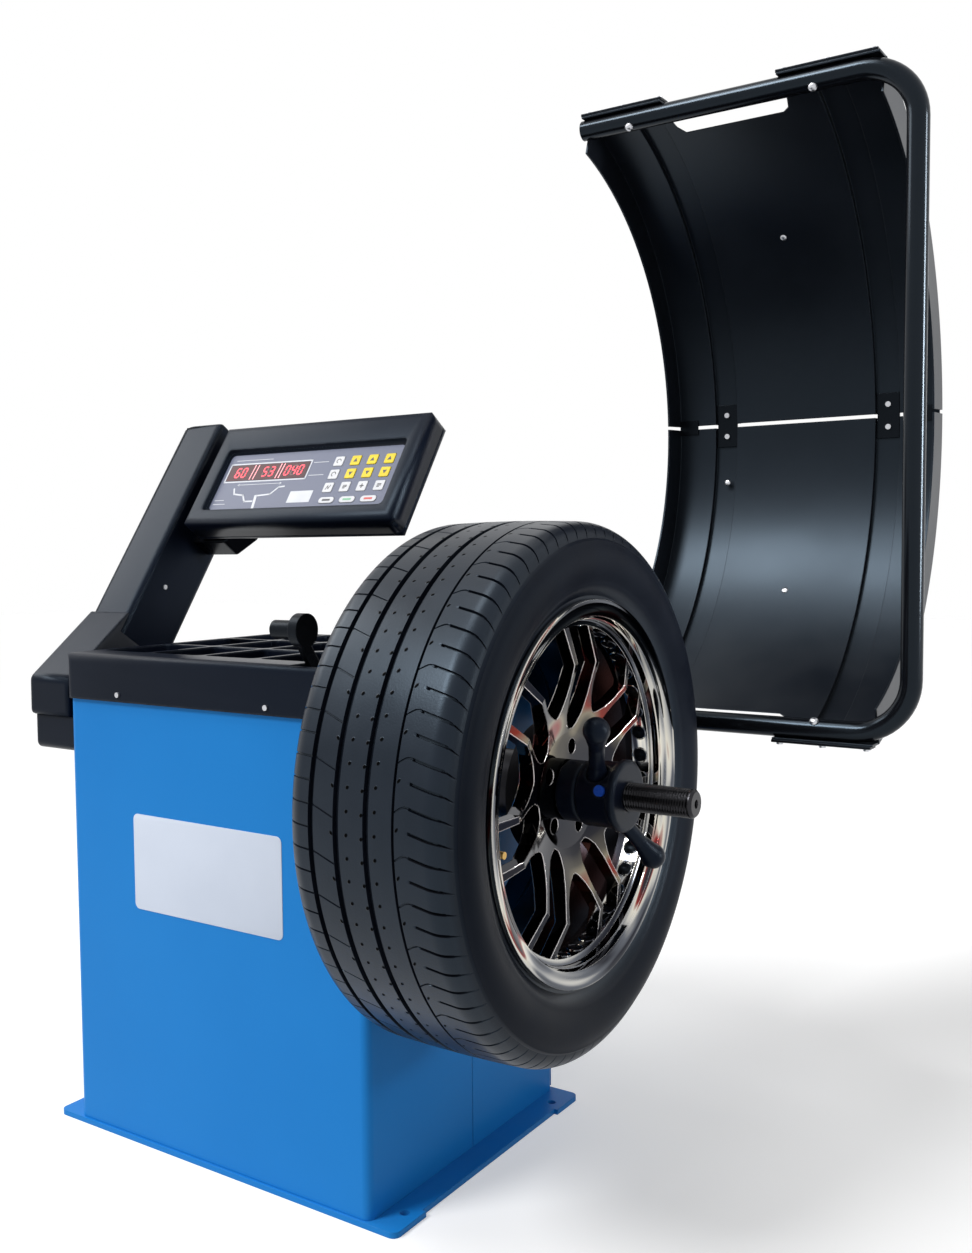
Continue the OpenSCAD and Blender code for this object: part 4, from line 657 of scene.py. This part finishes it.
# %% Threaded shaft
THREAD_PITCH, THREAD_FROM, THREAD_TO, THREAD_DEPTH = 0.0035, 0.556, 0.6895, 0.0015
SHAFT_R, UNCUT_R, RUN_OUT = 0.018, 0.0175, 0.002
threaded = np.arange(THREAD_FROM, THREAD_TO, THREAD_PITCH / 8)
head_end = np.array([
    [-0.110, 0.0], [-0.110, 0.015], [-0.064, 0.015], [-0.064, 0.020], [0.456, 0.020], [0.456, SHAFT_R]])
tip = np.array([
    [0.691, 0.0179], [0.694, 0.015], [0.694, 0.0055], [0.6932, 0.005], [0.681, 0.005], [0.680, 0.0]])
shaft = np.concatenate([head_end, np.stack([threaded, np.full_like(threaded, SHAFT_R)], -1), tip])
shaft_x, shaft_r = shaft[:, :1], shaft[:, 1:]
around = full_turn(64)
wave = np.abs((shaft_x / THREAD_PITCH - around / (2 * math.pi)) % 1 - 0.5) * 2
run_out = np.clip(np.minimum(shaft_x - THREAD_FROM, THREAD_TO - shaft_x) / RUN_OUT, 0, 1)
groove = THREAD_DEPTH * np.clip((wave - 0.3) / 0.4, 0, 1) * run_out * (shaft_r > UNCUT_R)
points = about_spindle(shaft_x, shaft_r - groove, around)
spindle = piece("threaded_spindle", points, grid_faces(len(shaft), len(around), close_columns=True),
                finish["thread_steel"], "spindle", crisp=40, merge=True)
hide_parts("spindle_shaft")
print("thread turns", round((THREAD_TO - THREAD_FROM) / THREAD_PITCH))

# %% [markdown]
# ## Printed panel
# The head leans back, so the panel is drawn flat in millimetres and then laid on the leaning face.
# A line becomes a row of thin rectangles, a digit seven bars with pointed ends. Everything printed
# in one ink is one piece, which a Solidify modifier turns into a thin film.

# %% Drawing on the leaning face
LEAN_SIN, LEAN_COS = 0.5635, 0.8261
LEAN_Y, LEAN_Z = -114, 806
PRINT_THICK = 0.00016


def lean(x, y, z):
    """Millimetres in the head's leaning frame to metres in the machine's frame."""
    x, y, z = np.broadcast_arrays(x, y, z)
    back, up = LEAN_Y + LEAN_COS * y + LEAN_SIN * z, LEAN_Z - LEAN_SIN * y + LEAN_COS * z
    return np.stack([x, back, up], -1) / 1000


def line(points, width):
    """Rectangles along a run of points, each lengthened by half its width so that corners close."""
    points = np.asarray(points, float)
    along = np.diff(points, axis=0)
    along = along / np.linalg.norm(along, axis=1, keepdims=True) * width / 2
    side = along[:, ::-1] * [-1, 1]
    start, stop = points[:-1] - along, points[1:] + along
    return list(np.stack([start - side, stop - side, stop + side, start + side], 1))


def box(x0, x1, z0, z1):
    """One rectangle."""
    return [np.array([[x0, z0], [x1, z0], [x1, z1], [x0, z1]], float)]


def frame_lines(x0, x1, z0, z1, width):
    """A closed rectangular border."""
    return line([[x0, z0], [x1, z0], [x1, z1], [x0, z1], [x0, z0]], width)


def walled(thing, thickness):
    """Gives a sheet a wall, half of it on each side."""
    wall = thing.modifiers.new("wall", "SOLIDIFY")
    wall.thickness, wall.offset = thickness, 0.0


def printed(name, shapes, depth, made, body="frame"):
    """One piece from flat shapes, laid on the leaning face at a depth."""
    flat = np.concatenate(shapes)
    ends = np.cumsum([len(shape) for shape in shapes])
    faces = [list(range(stop - len(shape), stop)) for shape, stop in zip(shapes, ends)]
    film = piece(name, lean(flat[:, 0], depth, flat[:, 1]), faces, made, body, outward=False)
    film.data.shade_flat()
    walled(film, PRINT_THICK)


# %% [markdown]
# ## Lit digits
# Seven bars a to g make a digit. A bar is a hexagon, the digits lean a little, and bars that are off
# have a faint painted glow, so that they stay visible on the red window. Lit ones glow, and a fine
# noise varies their brightness.

# %% Digits and window
GLYPHS = {"0": "abcdef", "3": "abcdg", "4": "bcfg", "5": "acdfg", "6": "acdefg"}
BARS = {"a": (0, 2, 1, 2), "b": (1, 1, 1, 2), "c": (1, 0, 1, 1), "d": (0, 0, 1, 0), "e": (0, 0, 0, 1),
        "f": (0, 1, 0, 2), "g": (0, 1, 1, 1)}
DIGIT_W, DIGIT_H, DIGIT_GAP, SLANT, BAR, BAR_GAP = 11.0, 21.0, 3.2, 0.10, 2.6, 0.3
WINDOW_X0, WINDOW_W, DIGIT_Z = -228.0, 176.0, 272.0
PALE_LOW, PALE_HIGH, PALE_WIDE, PALE_LEAN = 267.5, 297.5, 1.9, 2.5
PALE_DEPTH, LIT_DEPTH, OFF_DEPTH = 8.44, 8.45, 8.47


def bar(x, z, key):
    """A pointed bar of a digit whose lower left corner is at x and z."""
    ends = np.array(BARS[key], float).reshape(2, 2) * [DIGIT_W - BAR, (DIGIT_H - BAR) / 2] + BAR / 2
    along = (ends[1] - ends[0]) / np.linalg.norm(ends[1] - ends[0])
    side = along[::-1] * [-1, 1] * BAR / 2
    a, b = ends[0] + along * BAR_GAP, ends[1] - along * BAR_GAP
    point = along * BAR / 2
    shape = np.array([a, a + point - side, b - point - side, b, b - point + side, a + point + side])
    return shape + [x, z] + np.stack([shape[:, 1] * SLANT, np.zeros(6)], -1)


def glowing(name, tone, strength):
    """A lit lamp on the window, or the faint painted glow of one that is off: a fine noise adds up to three
    tenths to its strength.
    """
    made, tree, shader, place = material(name)
    drift = times(tree, noise(tree, place, 300.0), 0.3 * strength)
    fill(tree, shader, Base_Color=tone, Emission_Color=tone, Roughness=0.4,
         Emission_Strength=calc(tree, "ADD", drift, strength))
    return made


lit_bars, unlit_bars, pale_bars = [], [], []
for text, start in (("60", 0.085), ("53", 0.435), ("040", 0.715)):
    for index, sign in enumerate(text):
        x = WINDOW_X0 + WINDOW_W * start + index * (DIGIT_W + DIGIT_GAP)
        for key in BARS:
            (lit_bars if key in GLYPHS[sign] else unlit_bars).append(bar(x, DIGIT_Z, key))
for start in (0.298, 0.343, 0.628, 0.668):
    x = WINDOW_X0 + WINDOW_W * start
    pale_bars.append(np.array([
        [x, PALE_LOW], [x + PALE_WIDE, PALE_LOW],
        [x + PALE_WIDE + PALE_LEAN, PALE_HIGH], [x + PALE_LEAN, PALE_HIGH]]))
printed("window_bars", pale_bars, PALE_DEPTH, glowing("lamp_pale", (0.90, 0.30, 0.33), 0.6))
printed("lit_digits", lit_bars, LIT_DEPTH, glowing("lamp_lit", (0.95, 0.03, 0.06), 1.0))
# Bars that are off glow faintly: a painted glow.
printed("unlit_digits", unlit_bars, OFF_DEPTH, glowing("lamp_off_painted_glow", (0.055, 0.004, 0.006), 0.3))
print("bars lit", len(lit_bars), "off", len(unlit_bars))

# %% [markdown]
# ## Printed marks
# White lines show a rim in section with its width and distance, the way such panels do, and a plain
# pale block stands beside it. Each key has a small sign of its own, which rides on that key so that
# it sinks with it.

# %% Panel print
FILM_DEPTH, KEY_DEPTH = 8.9, 7.7
INKS = {"white": ((0.60, 0.62, 0.66), (0.54, 0.56, 0.60)),
        "dark": ((0.020, 0.020, 0.026), (0.030, 0.030, 0.036)),
        "green": ((0.16, 0.42, 0.24), (0.13, 0.36, 0.20)), "red": ((0.55, 0.06, 0.05), (0.48, 0.05, 0.04))}
ink = {name: coated("ink_" + name, *tones, 0.5, patch=30.0) for name, tones in INKS.items()}
rim_left = [[-199, 249], [-194, 238], [-172, 235], [-163, 222], [-146, 222]]
rim_right = [[-140, 233], [-112, 235], [-99, 249], [-88, 250]]
white = frame_lines(WINDOW_X0 - 2.2, WINDOW_X0 + WINDOW_W + 2.2, 263.8, 301.2, 2.4)
white += line(rim_left, 3.0) + line(rim_right, 3.0) + line([[-142, 232], [-138, 208.5]], 5.5)
white += line([[-195, 257], [-97, 257]], 1.0) + line([[-191, 259], [-195, 257], [-191, 255]], 0.9)
white += line([[-101, 259], [-97, 257], [-101, 255]], 0.9) + line([[-222, 309], [-140, 309]], 1.0)
white += box(-68, -20, 216, 239) + line([[-232, 218], [-206, 218]], 1.0)
white += line([[-232, 226], [-212, 226]], 1.0)
white += line([[-44, 296], [-14, 296]], 1.1) + line([[-44, 270], [-14, 270]], 1.1)
printed("panel_white_print", white, FILM_DEPTH, ink["white"])
print("white shapes", len(white))

# %% Signs on the keys
ARROW_UP = [np.array([[-4, -3], [4, -3], [0, 4]], float)]
ARROW_DOWN = [np.array([[-4, 3], [0, -4], [4, 3]], float)]
PLUS = box(-4, 4, -1, 1) + box(-1, 1, -4, -1) + box(-1, 1, 1, 4)
BARRED = box(-4, 4, 1.5, 3) + box(-4, 4, -1, 0.5) + box(-4, 1, -3.5, -2)
TILTED = line([[-4, -4], [-1, 3], [1, -3], [4, 4]], 1.2)
part_turn = full_turn(13)[:10]
RINGED = line(4 * np.stack([np.cos(part_turn), np.sin(part_turn)], -1), 1.2)
SIGNS = [RINGED] + [ARROW_UP] * 3 + [RINGED] + [ARROW_DOWN] * 3 + [TILTED, BARRED, PLUS, BARRED]
KEY_X, KEY_Z = (9, 43, 77, 111), (295, 269, 243)
OVALS = ((16, "dark"), (58, "green"), (100, "red"))
for index, sign in enumerate(SIGNS):
    row, column = divmod(index, len(KEY_X))
    shapes = [shape + [KEY_X[column], KEY_Z[row]] for shape in sign]
    spot = f"row{row + 1}_{column + 1}"
    printed("sign_" + spot, shapes, KEY_DEPTH, ink["dark"], "key_" + spot)
for index, (x, tone) in enumerate(OVALS):
    dash = box(x - 8, x + 8, 216.2, 219.8)
    printed(f"sign_oval_{index + 1}", dash, KEY_DEPTH, ink[tone], f"key_oval_{index + 1}")
print("signs", len(SIGNS) + len(OVALS))

# %% [markdown]
# ## Small hardware
# Rivets on the hood's sheet and bolt heads on its bars are domes: rings of changing radius along a
# direction, closed at both ends. The bare plate on the cabinet's front is a rounded rectangle in
# three steps: back, front edge and a face that is a little smaller.

# %% Domes and plate
DOME = np.array([[0.0, -0.1], [1.0, -0.1], [1.0, 0.25], [0.86, 0.62], [0.55, 0.9], [0.0, 1.0]])
DOME_SIDES = 20


def domes(name, centres, directions, radius, height):
    """Zinc domes on the hood at the centres, each a stack of rings along its direction, in one piece."""
    axis = directions / np.linalg.norm(directions, axis=1, keepdims=True)
    side = np.cross(axis, [0.3, 0.1, 0.95])
    side = side / np.linalg.norm(side, axis=1, keepdims=True)
    other = np.cross(axis, side)
    reach, rise = np.split((DOME * [radius, height])[None, :, :, None], 2, axis=2)
    spin = full_turn(DOME_SIDES)[None, None, :, None]
    around_it = np.cos(spin) * side[:, None, None, :] + np.sin(spin) * other[:, None, None, :]
    points = centres[:, None, None] + reach * around_it + rise * axis[:, None, None]
    faces = each(len(centres), grid_faces(len(DOME), DOME_SIDES, close_columns=True), len(DOME) * DOME_SIDES)
    piece(name, points, faces, finish["zinc_steel"], "hood", crisp=50, merge=True)


def rounded_outline(x0, x1, z0, z1, radius, steps=8):
    """Corner arcs of a rounded rectangle, in order round it."""
    a = np.linspace(0, math.pi / 2, steps)[None, :] + np.arange(4)[:, None] * math.pi / 2
    cx = np.array([x1 - radius, x0 + radius, x0 + radius, x1 - radius])[:, None]
    cz = np.array([z1 - radius, z1 - radius, z0 + radius, z0 + radius])[:, None]
    return np.stack([cx + radius * np.cos(a), cz + radius * np.sin(a)], -1).reshape(-1, 2)


SHEET_R = 0.4951
sheet_angle = np.radians([38.9, -33.0, -9.4])
inward = np.stack([np.zeros(3), -np.cos(sheet_angle), -np.sin(sheet_angle)], -1)
sheet_axis = np.array([[0.575, 0.1394, 1.096], [0.571, 0.1394, 1.096], [0.440, 0.1394, 1.096]])
domes("sheet_rivets", sheet_axis - SHEET_R * inward, inward, 0.0055, 0.0022)
bar_bolts = np.array([[0.426, 0.2584, 1.5429], [0.708, 0.2584, 1.5429], [0.717, 0.2587, 0.6492]])
bolt_ways = np.array([[0, -0.62, -0.78], [0, -0.62, -0.78], [0, -0.6, 0.8]])
domes("bar_bolt_heads", bar_bolts, bolt_ways, 0.0065, 0.0050)

PLATE_Y, PLATE_SHRINK = np.array([-0.2479, -0.2485, -0.2488]), 0.004
plate_paint = coated(
    "plate_white", (0.62, 0.68, 0.79), (0.58, 0.64, 0.75), 0.34, peel=0.05, patch=8.0, shine=0.25,
    edge=(0.8, 0.8, 0.82), wear_and_highlight=0.4, radius=0.0006)
outline = rounded_outline(-0.150, 0.146, 0.365, 0.510, 0.009)
plate_rings = np.stack([outline, outline, outline + (outline.mean(0) - outline) * PLATE_SHRINK])
plate_y = np.broadcast_to(PLATE_Y[:, None], plate_rings.shape[:2])
points = np.stack([plate_rings[..., 0], plate_y, plate_rings[..., 1]], -1)
count = len(outline)
faces = grid_faces(3, count, close_columns=True).tolist()
faces += [list(range(count)), list(range(2 * count, 3 * count))]
piece("bare_front_plate", points, faces, plate_paint, "frame", crisp=30)
print("rivets", len(inward), "bolt heads", len(bar_bolts))

# %% [markdown]
# ## Rounded mouldings
# Moulded covers, folded steel and keys have no knife edges. A copy of the CAD node's mesh is merged,
# flat triangles are joined into whole faces, and chosen sharp edges get a weight for a Bevel
# modifier. The copy stands in for its node. An edge is found sharp from its two face normals: the
# cosine of the fold is half the squared length of their sum, less one.

# %% Softened copies
CAD_WELD, COPLANAR, ROUND_STEPS = 2e-6, math.radians(0.5), 4


def read(things, field, width=1, kind=float):
    """One field of a mesh's parts as an array, one row to a part."""
    values = np.empty(len(things) * width, kind)
    things.foreach_get(field, values)
    return values if width == 1 else values.reshape(-1, width)


def weigh_edges(mesh, where, sharper):
    """Bevel weight 1 on every edge that folds by more than an angle and whose middle passes a test."""
    corner_face = np.repeat(np.arange(len(mesh.polygons)), read(mesh.polygons, "loop_total", kind=int))
    sums = np.zeros((len(mesh.edges), 3))
    np.add.at(sums, read(mesh.loops, "edge_index", kind=int), read(mesh.polygons, "normal", 3)[corner_face])
    sharp = (sums ** 2).sum(1) / 2 - 1 < math.cos(math.radians(sharper))
    middles = read(mesh.vertices, "co", 3)[read(mesh.edges, "vertices", 2, int)].mean(1)
    chosen = sharp & where(middles)
    weight = mesh.attributes.new("bevel_weight_edge", "FLOAT", "EDGE")
    weight.data.foreach_set("value", chosen.astype(float))
    return int(chosen.sum())


def softened(name, width, where, sharper=40):
    """A merged copy of a CAD node with chosen sharp edges rounded to a width; it replaces the node."""
    mesh = nodes[name].data.copy()
    shell = bmesh.new()
    shell.from_mesh(mesh)
    bmesh.ops.remove_doubles(shell, verts=shell.verts, dist=CAD_WELD)
    bmesh.ops.dissolve_limit(shell, angle_limit=COPLANAR, verts=shell.verts, edges=shell.edges)
    shell.to_mesh(mesh)
    shell.free()
    mesh.name = "soft_" + name
    shaded(mesh, finish[slot_of[name]], sharper)
    count = weigh_edges(mesh, where, sharper)
    thing = placed("soft_" + name, mesh)
    bevel = thing.modifiers.new("rounding", "BEVEL")
    bevel.width, bevel.segments, bevel.limit_method = width, ROUND_STEPS, "WEIGHT"
    bevel.harden_normals = True
    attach(thing, body_of[name])
    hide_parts(name)
    print("rounded", count, "edges of", name)


# %% [markdown]
# ## Which edges are rounded
# Each test takes the middles of all edges and says which may be rounded, so that thin walls and
# small holes stay as they are.

# %% Tests and copies
ON_PLANE, COLUMN_END = 0.0005, 0.385


def everywhere(at):
    """All edges."""
    return np.ones(len(at), bool)


def unlean(at):
    """Depth and height of points in the head's leaning frame, in metres: the turn of lean undone."""
    y, z = at[:, 1] - LEAN_Y / 1000, at[:, 2] - LEAN_Z / 1000
    return y * LEAN_COS - z * LEAN_SIN, y * LEAN_SIN + z * LEAN_COS


def head_front(at):
    """Edges in the head's front plane, where depth in the leaning frame is nil."""
    return unlean(at)[0] < ON_PLANE


def column_top(at):
    """Edges in the last centimetre of the leaning column."""
    return unlean(at)[1] > COLUMN_END


def left_or_front(at):
    """Edges in the part's leftmost or foremost plane."""
    return (at[:, :2] < at[:, :2].min(0) + ON_PLANE).any(1)


def top_plane(at):
    """Edges in the part's highest plane."""
    return at[:, 2] > at[:, 2].max() - ON_PLANE


softened("head_shell", 0.003, head_front, 62)
softened("head_back_cover", 0.0008, everywhere, 62)
softened("display_column", 0.005, column_top)
softened("column_foot", 0.008, left_or_front)
softened("side_box", 0.005, left_or_front)
softened("head_neck", 0.004, everywhere)
softened("weight_tray", 0.0035, top_plane)
for name in [name for name in nodes if name.startswith("key_")]:
    softened(name, 0.001, everywhere)

# %% [markdown]
# ## Corner posts of the head
# The pocket inside the head's front shell has square corners and breaks through the shell's four
# round ones, so a curved post closes each gap from inside. It is an arc about the corner's own
# centre, and a Solidify modifier gives it a wall.

# %% Posts
CORNER_X = np.array([149.0, -263.0, -263.0, 149.0])[:, None, None]
CORNER_Z = np.array([367.0, 367.0, 189.0, 189.0])[:, None, None]
POST_RADIUS, POST_WALL, POST_STEPS = 15.7, 0.0024, 9
POST_FROM, POST_TO = 22, 68
post_turn = np.radians(np.arange(4)[:, None, None] * 90 + np.linspace(POST_FROM, POST_TO, POST_STEPS))
post_depth = np.array([15.5, 37.8])[None, :, None]
points = lean(CORNER_X + POST_RADIUS * np.cos(post_turn), post_depth,
              CORNER_Z + POST_RADIUS * np.sin(post_turn))
faces = each(len(points), grid_faces(2, POST_STEPS), 2 * POST_STEPS)
posts = piece("head_corner_posts", points, faces, finish["black_plastic"],
              body_of["head_shell"], outward=False)
walled(posts, POST_WALL)
print("posts", len(points))

# %% [markdown]
# ## Finishes on the CAD nodes
# Each CAD node keeps its mesh and takes the finish of its slot. A few differ from their slot's usual
# one: the hood's sheet is satin, its tube glossy, and the wheel's barrel takes a darker chrome, painted
# shade.

# %% Assign finishes
special = {"hood_upper_panel": "hood_satin", "hood_lower_panel": "hood_satin", "wheel_rim": "rim_shade",
           "hood_tube": "tube_gloss"}
for name, thing in nodes.items():
    thing.data.materials.clear()
    thing.data.materials.append(finish[special.get(name, slot_of[name])])
print("CAD nodes with finishes", len(nodes))

# %% [markdown]
# ## Studio
# A broad sun from the upper left and an even sky give the plain level at which a colour renders
# about as written. Softboxes at the left and overhead and a strip at the right draw highlights on
# tyre, head and hood. The background is white, and the pale floor glows a little for the camera, so
# that it is white too and keeps the machine's shadow.

# %% Background and floor
SKY, FLOOR_GLOW, FLOOR_HALF = 0.37, 0.41, 14.0
scene.view_settings.view_transform = "Standard"


def seen(tree):
    """1 on rays from the camera and on mirrored or refracted ones, else 0."""
    rays = put(tree, "LightPath").outputs
    direct = calc(tree, "MAXIMUM", rays["Is Camera Ray"], rays["Is Glossy Ray"])
    return calc(tree, "MAXIMUM", direct, rays["Is Transmission Ray"])


world = scene.world = bpy.data.worlds.new("studio")
world.use_nodes = True
tree = world.node_tree
fill(tree, tree.nodes["Background"], Color=(1, 1, 1),
     Strength=calc(tree, "ADD", times(tree, seen(tree), 1 - SKY), SKY))

pale, tree, shader, place = material("pale_floor")
speck = noise(tree, place, 2.0, Detail=2.0)
fill(tree, shader, Base_Color=blend(tree, speck, (0.66, 0.66, 0.66), (0.69, 0.69, 0.69)),
     Roughness=0.8, Specular_IOR_Level=0.2, Emission_Color=(1, 1, 1),
     Emission_Strength=times(tree, seen(tree), FLOOR_GLOW))
floor = bpy.data.meshes.new("floor")
corners = FLOOR_HALF * np.array([[-1, -1, 0], [1, -1, 0], [1, 1, 0], [-1, 1, 0]])
floor.from_pydata(corners.tolist(), [], [(0, 1, 2, 3)])
floor.materials.append(pale)
ground = placed("floor", floor)
print("floor", 2 * FLOOR_HALF)

# %% Lamps
def lamp(kind, name, at, to, **settings):
    """A lamp of that kind at one point, turned to face another."""
    light = bpy.data.lights.new(name, kind)
    for key, value in settings.items():
        setattr(light, key, value)
    thing = placed(name, light)
    thing.location = at
    way = np.array(to) - np.array(at)
    heading = math.atan2(way[1], way[0]) - math.pi / 2
    thing.rotation_euler = (math.atan2(math.hypot(*way[:2]), -way[2]), 0, heading)


lamp("SUN", "broad_sun", (-1.5, -2.6, 3.2), (0.0, 0.0, 0.0), energy=1.98, angle=math.radians(18))
lamp("AREA", "left_softbox", (-2.3, -0.7, 2.8), (0.0, 0.0, 0.9), energy=34, size=1.5)
lamp("AREA", "right_strip", (2.7, 0.6, 1.5), (0.85, 0.27, 1.3), energy=4, shape="RECTANGLE", size=0.3,
     size_y=1.5, spread=math.radians(34))
lamp("AREA", "overhead", (0.1, -0.7, 3.4), (0.3, 0.0, 0.5), energy=22, size=1.0)
print("lamps", len(bpy.data.lights))
